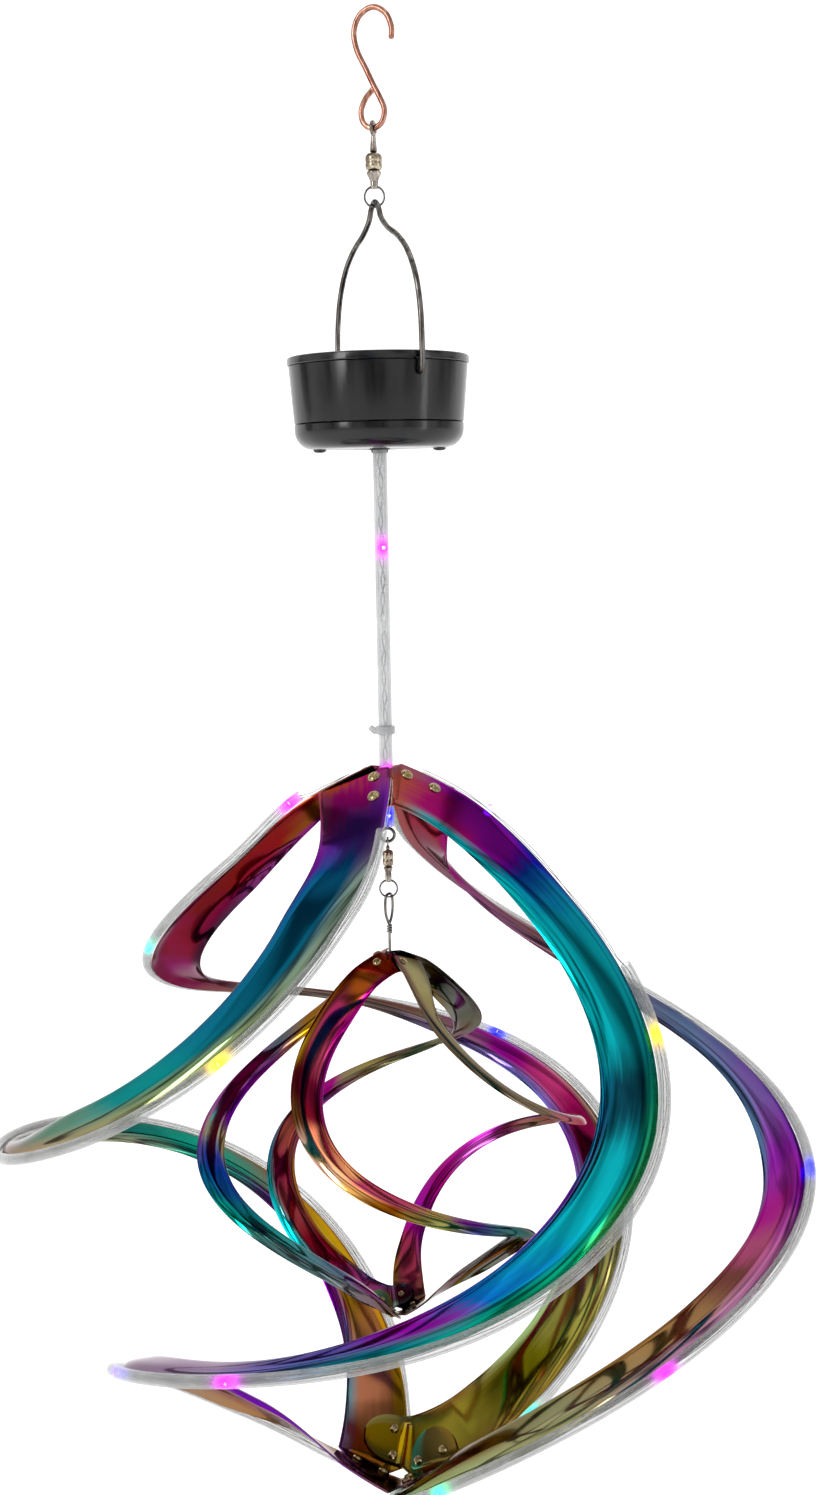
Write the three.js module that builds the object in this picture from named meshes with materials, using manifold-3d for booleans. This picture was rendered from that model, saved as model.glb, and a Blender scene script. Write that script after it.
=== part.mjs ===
// Hanging wind sculpture: a wire hook, a barrel swivel and a wire bail carry a solar cup. A clear riser
// tube hangs from the cup and carries four twisted metal blades with light tubes along their edges, and a
// smaller set of four blades, twisted the other way, turns inside them on a swivel of its own.
// Millimetres, +Z up. The origin is under the top of the hook, where the sculpture hangs.

import * as THREE from "three";
import { mergeVertices } from "three/addons/utils/BufferGeometryUtils.js";
import Module from "manifold-3d";

const wasm = await Module();
wasm.setup();

// ---- Driving dimensions ----

const GAP = 0.35; // clearance between pieces that touch on the real object
const HANG_HEIGHT = 466; // from the middle of the spinners up to the hanging point

// The blades of a set run from an upper hub to a lower hub. u goes from -1 at the top to 1 at the bottom.
const OUTER = {
  radius: 176.5,
  halfHeight: 170.5,
  heightTerms: [0.5, 1.05, -0.55],
  twist: [114, -14],
  hand: 1,
  yaw: -93,
  widthMiddle: 17,
  widthEnd: 33,
  tilt: 57,
  tiltEnd: 66,
  tiltSpan: 0.15,
  roll: 4,
  sheet: 0.9,
  start: 0.98,
  steps: 30,
  sink: 1.6,
  tabStart: 7.5,
  tabWidth: 24,
  tabReach: 21,
};
const INNER = {
  radius: 86.4,
  halfHeight: 87.8,
  heightTerms: [0.6, 0.85, -0.45],
  twist: [108, -20],
  hand: -1,
  yaw: -77,
  widthMiddle: 11.5,
  widthEnd: 15.5,
  tilt: 48,
  tiltEnd: 66,
  tiltSpan: 0.2,
  roll: 3,
  sheet: 0.8,
  start: 0.97,
  steps: 22,
  sink: 1.8,
  tabStart: 4.2,
  tabWidth: 11,
  tabReach: 10,
};
const BLADE_COUNT = 4;
const LETTERS = ["a", "b", "c", "d"];
const BLADE_TURNS = [-90, 0, 180, 90]; // azimuth of each blade from the first set's yaw, in LETTERS order

const LIGHT_TUBE_RADIUS = 2;
const LIGHT_TUBE_STARTS = [-0.86, -0.64, -0.86, -0.86]; // blade b has bare wire above its tube
const LIGHT_TUBE_END = 0.955;
const LIGHT_TUBE_STEPS = 24;
const CAP_LENGTH = 6;

const RIVET_DISTANCES = [11, 24.5]; // along a blade's edge from the hub's middle
const RIVET_INSET = 7; // from the blade's edge
const RIVET_HEAD_RADIUS = 2.8;
const RIVET_HEAD_HEIGHT = 1.4;
const RIVET_SHANK_RADIUS = 1.4;
const RIVET_HOLE_RADIUS = 1.75;

const HOOK_WIRE = 1.15;
const HOOK_YAW = -20;
const BAIL_AZIMUTH = -64;
const BAIL_SPREAD = 38.9;

const CUP_BOTTOM = 297.5;
const CUP_SEAM = 307.5;
const CUP_TOP = 334;
const CUP_RIM_RADIUS = 37;
const CUP_WALL = 2;
const BAIL_HOLE_HEIGHT = 326;
const BASE_SCREW_RADIUS = 24.5;
const BUTTON_PLACE = [0, 16];

const RISER_RADIUS = 2.9;
const RISER_BORE = 2.1;
const RISER_TOP = 305.5;
const RISER_FOOT = 139.5;

// ---- Helpers ----

const DEG = Math.PI / 180;
const UP = new THREE.Vector3(0, 0, 1);

function material(color, roughness, metalness) {
  return new THREE.MeshStandardMaterial({ color, roughness, metalness });
}

/** A closed mesh as a manifold solid. */
function solid(geometry) {
  const bare = geometry.index ? geometry.toNonIndexed() : geometry.clone();
  bare.deleteAttribute("normal");
  bare.deleteAttribute("uv");
  const merged = mergeVertices(bare, 1e-4);
  const mesh = new wasm.Mesh({
    numProp: 3,
    vertProperties: new Float32Array(merged.attributes.position.array),
    triVerts: new Uint32Array(merged.index.array),
  });
  return new wasm.Manifold(mesh);
}

/** A manifold solid as a geometry. */
function geometryOf(body) {
  const mesh = body.getMesh();
  const geometry = new THREE.BufferGeometry();
  geometry.setAttribute("position", new THREE.BufferAttribute(new Float32Array(mesh.vertProperties), 3));
  geometry.setIndex(new THREE.BufferAttribute(new Uint32Array(mesh.triVerts), 1));
  geometry.computeVertexNormals();
  return geometry;
}

function joined(...geometries) {
  return geometryOf(geometries.map(solid).reduce((sum, body) => sum.add(body)));
}

function cut(geometry, ...tools) {
  return geometryOf(tools.map(solid).reduce((rest, tool) => rest.subtract(tool), solid(geometry)));
}

/** A solid of revolution about Z from [radius, height] pairs that start and end on the axis. */
function turned(profile, segments = 16) {
  const points = profile.map(([radius, height]) => new THREE.Vector2(radius, height));
  return new THREE.LatheGeometry(points, segments).rotateX(Math.PI / 2);
}

/** A ring of revolution about Z, whose [radius, height] pairs close on themselves. */
function ringed(profile, segments = 16) {
  return turned([...profile, profile[0]], segments);
}

function rod(radius, bottom, top, segments = 12) {
  return turned([[0, bottom], [radius, bottom], [radius, top], [0, top]], segments);
}

/** A round wire along a curve. */
function wire(curve, radius, steps, sides = 8) {
  const corners = Array.from({ length: sides }, (_, side) => {
    const angle = (side / sides) * 2 * Math.PI;
    return new THREE.Vector2(radius * Math.cos(angle), radius * Math.sin(angle));
  });
  const section = new THREE.Shape(corners);
  return new THREE.ExtrudeGeometry(section, { steps, bevelEnabled: false, extrudePath: curve });
}

function smooth(points) {
  return new THREE.CatmullRomCurve3(points.map((p) => new THREE.Vector3(...p)), false, "centripetal");
}

/** A wire eye of mean radius `radius`, standing in the XZ plane about `height`. */
function eye(radius, wireRadius, height, tube = 6, segments = 16) {
  const ring = new THREE.TorusGeometry(radius, wireRadius, tube, segments);
  return ring.rotateX(Math.PI / 2).translate(0, 0, height);
}

function ramp(value, from, to) {
  return THREE.MathUtils.smoothstep(value, from, to);
}

/** A closed body through rings of points, each ring going the same way round. */
function loft(rings) {
  const count = rings[0].length;
  const positions = rings.flatMap((ring) => ring.flatMap((point) => point.toArray()));
  const index = [];
  for (let row = 0; row + 1 < rings.length; row += 1) {
    for (let i = 0; i < count; i += 1) {
      const a = row * count + i;
      const b = row * count + ((i + 1) % count);
      index.push(a, b, a + count, b, b + count, a + count);
    }
  }
  const last = (rings.length - 1) * count;
  const half = count / 2;
  for (let i = 0; i + 1 < half; i += 1) {
    const far = count - 1 - i;
    index.push(i, far, i + 1, i + 1, far, far - 1);
    index.push(last + i, last + i + 1, last + far, last + i + 1, last + far - 1, last + far);
  }
  const geometry = new THREE.BufferGeometry();
  geometry.setAttribute("position", new THREE.Float32BufferAttribute(positions, 3));
  geometry.setIndex(index);
  return geometry;
}

// ---- Blades ----

/** The outer edge of a blade at u. */
function edgePoint(set, turn, u) {
  const reach = set.radius * (1 - u * u);
  const [first, third, fifth] = set.heightTerms;
  const [swing, ease] = set.twist;
  const azimuth = (set.yaw + turn - set.hand * (swing * u + ease * u ** 3)) * DEG;
  const height = -set.halfHeight * (first * u + third * u ** 3 + fifth * u ** 5);
  return new THREE.Vector3(reach * Math.cos(azimuth), reach * Math.sin(azimuth), height);
}

/** The blade's frame at u: its edge, the way across its web, its front face and its width. */
function bladeFrame(set, turn, u) {
  const step = 1e-4;
  const edge = edgePoint(set, turn, u);
  const along = edgePoint(set, turn, u + step).sub(edgePoint(set, turn, u - step)).normalize();
  const radial = (v) => set.radius * (1 - v * v);
  const rise = (edgePoint(set, turn, u + step).z - edgePoint(set, turn, u - step).z) / (2 * step);
  const spread = (radial(u + step) - radial(u - step)) / (2 * step);
  const [swing, ease] = set.twist;
  const azimuth = (set.yaw + turn - set.hand * (swing * u + ease * u ** 3)) * DEG;
  const outward = new THREE.Vector3(-rise * Math.cos(azimuth), -rise * Math.sin(azimuth), spread);
  outward.addScaledVector(along, -outward.dot(along)).normalize();
  const lean = set.tilt + (set.tiltEnd - set.tilt) * ramp(Math.abs(u), 0.75, 0.97);
  const angle = -lean * DEG * Math.tanh(u / set.tiltSpan);
  const sideways = new THREE.Vector3().crossVectors(along, outward).multiplyScalar(set.hand);
  const across = outward.multiplyScalar(-Math.cos(angle)).addScaledVector(sideways, Math.sin(angle));
  const front = new THREE.Vector3().crossVectors(across, along).multiplyScalar(set.hand);
  const width = set.widthMiddle + (set.widthEnd - set.widthMiddle) * Math.abs(u) ** 1.5;
  return { edge, across, front, width };
}

/** A point at `distance` from the blade's edge on its middle surface, `lift` above it. */
function bladePoint(frame, distance, lift) {
  return frame.edge.clone().addScaledVector(frame.across, distance).addScaledVector(frame.front, lift);
}

const EDGE_STRETCH = 2.15; // length of the blade's edge near a hub, for each unit of u and of radius
const TAB_ROWS = [0.98, 0.9, 0.7, 0.4, 0.14]; // reach of each row of the tab, from its round end
const SECTION_STATIONS = [0, 0.15, 0.5, 0.85, 1];
const SECTION_DROPS = [1, 0.22, 0, 0.22, 1]; // how far the rolled edges fall away from the flat web

/** The closed outline of the blade's sheet at u. */
function bladeRing(set, turn, u) {
  const frame = bladeFrame(set, turn, u);
  const depth = set.roll * (1 - ramp(Math.abs(u), 0.72, 0.9));
  const sunk = sinkAt(set, u);
  const line = SECTION_STATIONS.map((station, i) => [station * frame.width, sunk - depth * SECTION_DROPS[i]]);
  const sides = [1, -1].map((side) => line.map(([x, y], i) => {
    const [x0, y0] = line[Math.max(i - 1, 0)];
    const [x1, y1] = line[Math.min(i + 1, line.length - 1)];
    const length = Math.hypot(x1 - x0, y1 - y0);
    const shift = (side * set.sheet) / 2 / length;
    return bladePoint(frame, x - (y1 - y0) * shift, y + (x1 - x0) * shift);
  }));
  return [...sides[0], ...sides[1].reverse()];
}

/** Near a hub the sheet sinks towards the inside, to pass under the edge of its neighbour. */
function sinkAt(set, u) {
  return Math.sign(u) * set.sink * THREE.MathUtils.clamp((Math.abs(u) - 0.9) / 0.08, 0, 1);
}

/** The u of a spot on a blade's edge, measured along it from the middle of a hub. */
function edgeSpot(set, end, distance) {
  return end * (1 - distance / (EDGE_STRETCH * set.radius));
}

/** The rounded tab at one end, lying inside the neighbour's plate. end is -1 at the top, 1 at the bottom. */
function tabRings(set, turn, end) {
  const neighbour = turn + 90 * set.hand * end;
  return TAB_ROWS.map((row) => {
    const narrowing = row > 0.4 ? Math.sqrt(1 - ((row - 0.4) / 0.62) ** 2) : 1;
    const sides = [1, -1].map((side) => SECTION_STATIONS.map((station) => {
      const distance = set.tabStart + set.tabWidth * (0.5 + (station - 0.5) * narrowing);
      const u = edgeSpot(set, end, distance);
      const lift = sinkAt(set, u) + end * (set.sheet + GAP) + (side * set.sheet) / 2;
      return bladePoint(bladeFrame(set, neighbour, u), row * set.tabReach, lift);
    }));
    return [...sides[0], ...sides[1].reverse()];
  });
}

/** Where a rivet goes through a plate, and the way out of the hub there. */
function rivetPlace(set, turn, end, distance) {
  const spot = (along) => {
    const u = edgeSpot(set, end, along);
    return bladePoint(bladeFrame(set, turn, u), RIVET_INSET, sinkAt(set, u));
  };
  const slope = spot(distance + 2).sub(spot(distance - 2));
  const across = bladeFrame(set, turn, edgeSpot(set, end, distance)).across;
  const out = across.clone().cross(slope).normalize().multiplyScalar(set.hand);
  return { point: spot(distance), out };
}

function standAlong(geometry, { point, out }) {
  geometry.applyQuaternion(new THREE.Quaternion().setFromUnitVectors(UP, out));
  return geometry.translate(point.x, point.y, point.z);
}

/** A blade with its two tabs. */
function blade(set, turn) {
  const rings = tabRings(set, turn, -1);
  const crowding = 0.62 * Math.PI; // rings stand closer together towards the hubs
  for (let step = 0; step <= set.steps; step += 1) {
    const share = step / set.steps - 0.5;
    rings.push(bladeRing(set, turn, (set.start * Math.sin(share * crowding)) / Math.sin(crowding / 2)));
  }
  rings.push(...tabRings(set, turn, 1).reverse());
  if (set.hand < 0) rings.forEach((ring) => ring.reverse());
  return loft(rings);
}

/** An outer blade, with the rivet holes of its plates and of its tabs. */
function outerBlade(turn) {
  const places = [-1, 1].flatMap((end) => [turn, turn + 90 * OUTER.hand * end].flatMap((owner) =>
    RIVET_DISTANCES.map((distance) => rivetPlace(OUTER, owner, end, distance))));
  const drills = places.map((place) => standAlong(rod(RIVET_HOLE_RADIUS, -6, 4, 8), place));
  return cut(blade(OUTER, turn), ...drills);
}

/** A dome rivet through a plate at height 0 and the tab under it. */
function rivet() {
  const seat = OUTER.sheet / 2 + 0.3;
  const tail = -(OUTER.sheet * 1.5 + GAP + 0.3);
  return turned([
    [0, tail - 1.3],
    [1.8, tail - 1.2],
    [2.1, tail],
    [RIVET_SHANK_RADIUS, tail],
    [RIVET_SHANK_RADIUS, seat],
    [RIVET_HEAD_RADIUS, seat],
    [RIVET_HEAD_RADIUS * 0.6, seat + RIVET_HEAD_HEIGHT],
    [0, seat + RIVET_HEAD_HEIGHT],
  ], 8);
}

/** The middle line of a light tube, along the outside of a blade's rolled edge. */
class LightTubePath extends THREE.Curve {
  constructor(turn, start, end) {
    super();
    Object.assign(this, { turn, start, end });
  }

  getPoint(t, target = new THREE.Vector3()) {
    const u = this.start + (this.end - this.start) * t;
    const frame = bladeFrame(OUTER, this.turn, u);
    const clear = LIGHT_TUBE_RADIUS + OUTER.sheet / 2 + 0.45;
    const atHub = ramp(Math.abs(u), 0.78, 0.9);
    const drop = OUTER.roll * 0.45 * (1 - atHub) + Math.sign(u) * clear * atHub;
    return target.copy(bladePoint(frame, -clear * (1 - 0.5 * atHub), sinkAt(OUTER, u) - drop));
  }
}

/** A push-on cap at the lower end of a light tube. */
function tubeCap(path) {
  const out = path.getTangent(1);
  const point = path.getPoint(1).addScaledVector(out, 0.3);
  const cap = turned([[0, 0], [2.3, 0], [2.3, CAP_LENGTH - 1], [1.5, CAP_LENGTH], [0, CAP_LENGTH]], 10);
  return standAlong(cap, { point, out });
}

// ---- Hook, swivels, rings and bail ----

function hangingHook() {
  const top = HANG_HEIGHT + HOOK_WIRE;
  return wire(smooth([
    [8.3, 0, top - 12.6],
    [8.4, 0, top - 8],
    [5.9, 0, top - 2.6],
    [0.8, 0, top],
    [-4.6, 0, top - 2.4],
    [-7.2, 0, top - 8],
    [-6.2, 0, top - 15],
    [-2.6, 0, top - 22.4],
    [0.6, 0, top - 29],
    [2.9, 0, top - 33.4],
    [4.9, 0, top - 38.4],
    [3.6, 0, top - 43.2],
    [0, 0, top - 45],
    [-3.8, 0.2, top - 43],
    [-5.2, 0.8, top - 38.2],
    [-3.6, 1.9, top - 33.6],
    [-1.2, 3, top - 31.2],
  ]), HOOK_WIRE, 52, 6);
}

const HOOK_EYE = HANG_HEIGHT + HOOK_WIRE - 45; // the wire that the top swivel hangs on
const TOP_RING_PIVOT = 400.1;
const TOP_RING_RADIUS = 3.95;
const TOP_RING_WIRE = 0.5;
const BAIL_TOP = TOP_RING_PIVOT - 2 * TOP_RING_RADIUS + TOP_RING_WIRE + HOOK_WIRE + GAP;

/** A wire eye on a shank whose head sits in the barrel below it. */
function swivelEye(height, radius, wireRadius, shankRadius, headRadius, headHeight) {
  const foot = height - radius;
  return joined(
    eye(radius, wireRadius, height).rotateZ(Math.PI / 2),
    rod(shankRadius, headHeight, foot),
    rod(headRadius, headHeight - 0.9, headHeight),
  );
}

/** A swivel's barrel, hollow, with a mouth at each end for the two shanks. */
function swivelBarrel(radius, bottom, top, mouth, wall = 1) {
  return ringed([
    [mouth, bottom],
    [radius * 0.72, bottom],
    [radius, bottom + radius * 0.35],
    [radius, top - radius * 0.35],
    [radius * 0.72, top],
    [mouth, top],
    [mouth, top - wall],
    [radius - wall, top - wall],
    [radius - wall, bottom + wall],
    [mouth, bottom + wall],
  ], 12);
}

/** The lower shank: a head in the barrel, a tapered stem and a drilled tip for the ring. */
function swivelShank(headHeight, headRadius, neck, shoulder, tip, holeRadius, tipRadius) {
  const stem = turned([
    [0, tip - tipRadius * 0.6],
    [tipRadius * 0.8, tip - tipRadius * 0.6],
    [tipRadius, tip],
    [tipRadius * 0.95, tip + tipRadius],
    [shoulder, neck - 0.9],
    [shoulder, neck - 0.3],
    [headRadius * 0.6, neck - 0.3],
    [headRadius * 0.6, headHeight],
    [headRadius, headHeight],
    [headRadius, headHeight + 0.9],
    [0, headHeight + 0.9],
  ], 12);
  const drill = rod(holeRadius, -6, 6, 8).rotateY(Math.PI / 2).translate(0, 0, tip + 0.1);
  return cut(stem, drill);
}

/** The cup's bail: a spring wire, narrow at the ring, wide over the cup, with ends bent in through its wall. */
function bailWire() {
  const half = [
    [BAIL_SPREAD - 5.5, BAIL_HOLE_HEIGHT],
    [BAIL_SPREAD - 1.6, BAIL_HOLE_HEIGHT],
    [BAIL_SPREAD - 0.3, BAIL_HOLE_HEIGHT + 0.8],
    [BAIL_SPREAD, BAIL_HOLE_HEIGHT + 2.4],
    [BAIL_SPREAD, 338],
    [BAIL_SPREAD - 1, 350],
    [BAIL_SPREAD - 4.4, 362],
    [BAIL_SPREAD - 11, 372.2],
    [BAIL_SPREAD - 19, 378.6],
    [BAIL_SPREAD - 28, 383.2],
    [BAIL_SPREAD - 33.4, 387.6],
    [BAIL_SPREAD - 36, BAIL_TOP - 2],
  ];
  const points = [...half, [0, BAIL_TOP], ...half.map(([x, z]) => [-x, z]).reverse()];
  return wire(smooth(points.map(([x, z]) => [x, 0, z])), HOOK_WIRE, 60, 6);
}

// ---- Solar cup ----

function placed(geometry, [x, y], z = 0) {
  return geometry.translate(x, y, z);
}

function cupWall() {
  const shell = ringed([
    [34.6, CUP_SEAM + GAP],
    [36.4, CUP_TOP - 3.6],
    [36.4 - CUP_WALL, CUP_TOP - 3.6],
    [34.6 - CUP_WALL, CUP_SEAM + GAP],
  ], 24);
  const drill = rod(HOOK_WIRE + GAP, -50, 50, 10).rotateY(Math.PI / 2).rotateZ(BAIL_AZIMUTH * DEG);
  return cut(shell, drill.translate(0, 0, BAIL_HOLE_HEIGHT));
}

const SCREW_PLACES = [[-BASE_SCREW_RADIUS, 0], [BASE_SCREW_RADIUS, 0]];
const BOARD_BOTTOM = CUP_BOTTOM + 12.3;
const BOARD_TOP = BOARD_BOTTOM + 1.6;

/** The base of the cup: a shallow bowl with holes for the riser, the button and the two screws. */
function cupBase() {
  const corner = 7.5;
  const bowl = [];
  for (const [radius, ends] of [[corner, [0, 1, 2, 3]], [corner - CUP_WALL, [3, 2, 1, 0]]]) {
    for (const step of ends) {
      const angle = (step / 3) * 0.5 * Math.PI;
      bowl.push([34.6 - corner + radius * Math.sin(angle), CUP_BOTTOM + corner - radius * Math.cos(angle)]);
    }
    if (radius === corner) bowl.push([34.6, CUP_SEAM], [34.6 - CUP_WALL, CUP_SEAM]);
  }
  const shell = turned([[0, CUP_BOTTOM], ...bowl, [0, CUP_BOTTOM + CUP_WALL]], 24);
  const posts = SCREW_PLACES.map((place) => placed(rod(2.8, CUP_BOTTOM + 1, BOARD_BOTTOM - GAP, 12), place));
  const holes = [
    rod(4.4, CUP_BOTTOM - 1, CUP_BOTTOM + 4, 16),
    placed(rod(4, CUP_BOTTOM - 1, CUP_BOTTOM + 4, 16), BUTTON_PLACE),
    ...SCREW_PLACES.map((place) => placed(rod(1.5, CUP_BOTTOM - 1, BOARD_BOTTOM + 1, 10), place)),
  ];
  return cut(joined(shell, ...posts), ...holes);
}

function panelBezel() {
  const frame = ringed([
    [30, CUP_TOP - 3.2],
    [CUP_RIM_RADIUS, CUP_TOP - 3.2],
    [CUP_RIM_RADIUS, CUP_TOP - 0.8],
    [CUP_RIM_RADIUS - 0.8, CUP_TOP],
    [30, CUP_TOP],
  ], 24);
  const deck = rod(30.2, CUP_TOP - 3.2, CUP_TOP, 24);
  const recess = new THREE.BoxGeometry(45, 45, 3).translate(0, 0, CUP_TOP + 0.1);
  const window = new THREE.BoxGeometry(36, 36, 8).translate(0, 0, CUP_TOP);
  return cut(joined(frame, deck), recess, window);
}

function solarPanel() {
  return new THREE.BoxGeometry(44.3, 44.3, 1).translate(0, 0, CUP_TOP - 0.55);
}

function circuitBoard() {
  const board = rod(29.5, BOARD_BOTTOM, BOARD_TOP, 24);
  return cut(board, ...SCREW_PLACES.map((place) => placed(rod(1.5, BOARD_BOTTOM - 1, BOARD_TOP + 1, 10), place)));
}

const CELL_RADIUS = 5.25;
const CELL_HEIGHT = BOARD_TOP + GAP + CELL_RADIUS;

function batteryCell() {
  const cell = turned([[0, -22], [4.8, -22], [5.25, -21.5], [5.25, 21], [1.9, 21.4], [1.9, 22.3], [0, 22.3]], 16);
  return cell.rotateX(-Math.PI / 2).translate(0, 0, CELL_HEIGHT);
}

function plateContact() {
  const plate = new THREE.BoxGeometry(8, 0.5, 9).translate(0, 22.95, BOARD_TOP + GAP + 4.5);
  return plate;
}

/** A spring contact: a plate standing on the board and a coil that presses on the cell. */
function springContact() {
  const turns = 2.5;
  const coil = smooth(Array.from({ length: 31 }, (_, i) => {
    const angle = (i / 30) * turns * 2 * Math.PI;
    const radius = 3.1 - (1.3 * i) / 30;
    return [radius * Math.cos(angle), -25 + (2.4 * i) / 30, CELL_HEIGHT + radius * Math.sin(angle)];
  }));
  const plate = new THREE.BoxGeometry(8, 0.5, 9).translate(0, -25.3, BOARD_TOP + GAP + 4.5);
  return joined(wire(coil, 0.32, 30, 5), plate);
}

const BUTTON_TRAVEL = 1.2;
const SWITCH_BOTTOM = CUP_BOTTOM + 6.4;

function switchBody() {
  const box = new THREE.BoxGeometry(9, 9, BOARD_BOTTOM - GAP - SWITCH_BOTTOM);
  const body = placed(box, BUTTON_PLACE, (BOARD_BOTTOM - GAP + SWITCH_BOTTOM) / 2);
  return cut(body, placed(rod(2.2, SWITCH_BOTTOM - 1, SWITCH_BOTTOM + 3.5, 12), BUTTON_PLACE));
}

/** The push button, standing out under the base, with a stem into the switch. */
function switchButton() {
  const button = turned([
    [0, CUP_BOTTOM - 1.6],
    [3.1, CUP_BOTTOM - 1.6],
    [3.6, CUP_BOTTOM - 1.1],
    [3.6, CUP_BOTTOM + 4.4],
    [1.8, CUP_BOTTOM + 4.4],
    [1.8, SWITCH_BOTTOM + 1.6],
    [0, SWITCH_BOTTOM + 1.6],
  ], 16);
  return placed(button, BUTTON_PLACE);
}

function baseScrew() {
  return turned([
    [0, CUP_BOTTOM - 2.1],
    [1.6, CUP_BOTTOM - 1.9],
    [2.7, CUP_BOTTOM - 0.9],
    [2.7, CUP_BOTTOM - 0.3],
    [1.1, CUP_BOTTOM - 0.3],
    [1.1, BOARD_TOP + 1],
    [0, BOARD_TOP + 1.4],
  ], 12);
}

/** The plug that holds the riser in the base, flanged on the inside and nearly flush underneath. */
function tubeGland() {
  const inner = RISER_RADIUS + 0.3;
  return ringed([
    [inner, CUP_BOTTOM - 0.5],
    [4.1, CUP_BOTTOM - 0.5],
    [4.1, CUP_BOTTOM + CUP_WALL + 0.3],
    [5.6, CUP_BOTTOM + CUP_WALL + 0.3],
    [5.6, CUP_BOTTOM + CUP_WALL + 1.6],
    [inner, CUP_BOTTOM + CUP_WALL + 1.6],
  ], 16);
}

function riserTube() {
  return ringed([
    [RISER_BORE, RISER_FOOT],
    [RISER_RADIUS, RISER_FOOT],
    [RISER_RADIUS, RISER_TOP],
    [RISER_BORE, RISER_TOP],
  ], 16);
}

/** The tie that grips the riser just above the upper hub. */
function riserTie() {
  const height = 181;
  const band = ringed([[3.2, height - 1.6], [4.1, height - 1.6], [4.1, height + 1.6], [3.2, height + 1.6]], 16);
  return joined(band, new THREE.BoxGeometry(3, 3.4, 3.6).translate(-5.2, 0, height));
}

// ---- Inner hanger ----

const HANGER_EYE = 135.6; // middle of the wire eye in the riser's foot
const INNER_PIVOT = HANGER_EYE - 2.9;
const INNER_RING_PIVOT = 115.8;
const INNER_RING_RADIUS = 3.75;
const INNER_RING_WIRE = 0.45;
const LINK_WIRE = 0.6;
const LINK_PIVOT = INNER_RING_PIVOT - 2 * INNER_RING_RADIUS;

function hangerEye() {
  return joined(eye(2.9, 0.7, HANGER_EYE), rod(0.9, HANGER_EYE + 2.7, 152, 10));
}

/** The wire that carries the inner blades: a long eye whose ends lie beside its stem, and a bead in the hub. */
function innerLink() {
  const top = LINK_PIVOT + INNER_RING_WIRE + LINK_WIRE + GAP;
  const loop = wire(smooth([
    [0.8, 0, 95.4],
    [1.7, 0, 99.5],
    [2.5, 0, 104],
    [1.7, 0, top - 0.7],
    [0, 0, top],
    [-1.7, 0, top - 0.7],
    [-2.5, 0, 104],
    [-1.7, 0, 99.5],
    [-0.8, 0, 95.4],
  ]), LINK_WIRE, 26, 6);
  const stem = rod(LINK_WIRE, 80.5, 97, 10);
  const bead = turned([[0, 77.4], [1.4, 78], [1.9, 79.3], [1.4, 80.6], [0, 81.2]], 12);
  return joined(loop, stem, bead).rotateZ(50 * DEG);
}

// ---- Assembly ----

const COPPER = [0xb5623c, 0.25, 1];
const STEEL = [0xb9b4aa, 0.22, 1];
const BLACK = [0x0b0b0d, 0.2, 0];
const RAINBOW = [0x7a3f9a, 0.12, 1];
const CLEAR = [0xe8e8ea, 0.15, 0];
const BRASS = [0xc9a96a, 0.28, 1];

const sculpture = new THREE.Group();
sculpture.position.z = -HANG_HEIGHT;

function add(name, geometry, look, turn = 0) {
  const mesh = new THREE.Mesh(geometry, material(...look));
  mesh.name = name;
  mesh.rotation.z = turn * DEG;
  sculpture.add(mesh);
}

add("hanging_hook", hangingHook(), COPPER, HOOK_YAW);
add("top_swivel_eye", swivelEye(HOOK_EYE, 2.4, 0.7, 0.95, 1.9, 409.9), STEEL, HOOK_YAW);
add("top_swivel_barrel", swivelBarrel(3.4, 406, 412.6, 1.4), STEEL);
add("top_swivel_shank", swivelShank(407.4, 1.9, 406, 3, TOP_RING_PIVOT, 0.95, 1.7), STEEL);
add("top_ring", eye(TOP_RING_RADIUS, TOP_RING_WIRE, TOP_RING_PIVOT - TOP_RING_RADIUS, 6, 24), STEEL);
add("bail", bailWire(), STEEL, BAIL_AZIMUTH);

add("solar_cup_wall", cupWall(), BLACK);
add("solar_cup_base", cupBase(), BLACK);
add("panel_bezel", panelBezel(), BLACK);
add("solar_panel", solarPanel(), [0x101830, 0.15, 0]);
add("circuit_board", circuitBoard(), [0x1d5a34, 0.5, 0]);
add("battery_cell", batteryCell(), [0x2c7a45, 0.4, 0]);
add("battery_plate_contact", plateContact(), STEEL);
add("battery_spring_contact", springContact(), STEEL);
add("switch_body", switchBody(), [0x1a1a1c, 0.5, 0]);
add("switch_button", switchButton(), [0x2a2a2d, 0.4, 0]);
SCREW_PLACES.forEach((place, i) => add(`base_screw_${i + 1}`, placed(baseScrew(), place), STEEL));
add("tube_gland", tubeGland(), BLACK);
add("riser_tube", riserTube(), CLEAR);
add("riser_tie", riserTie(), CLEAR);

BLADE_TURNS.forEach((turn, i) => {
  const letter = LETTERS[i];
  const path = new LightTubePath(turn, LIGHT_TUBE_STARTS[i], LIGHT_TUBE_END);
  add(`outer_blade_${letter}`, outerBlade(turn), RAINBOW);
  add(`light_tube_${letter}`, wire(path, LIGHT_TUBE_RADIUS, LIGHT_TUBE_STEPS, 6), CLEAR);
  add(`tube_cap_${letter}`, tubeCap(path), BLACK);
  [["upper", -1], ["lower", 1]].forEach(([hub, end]) => RIVET_DISTANCES.forEach((distance, j) => {
    const place = rivetPlace(OUTER, turn, end, distance);
    add(`${hub}_rivet_${letter}${j + 1}`, standAlong(rivet(), place), BRASS);
  }));
});

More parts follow.
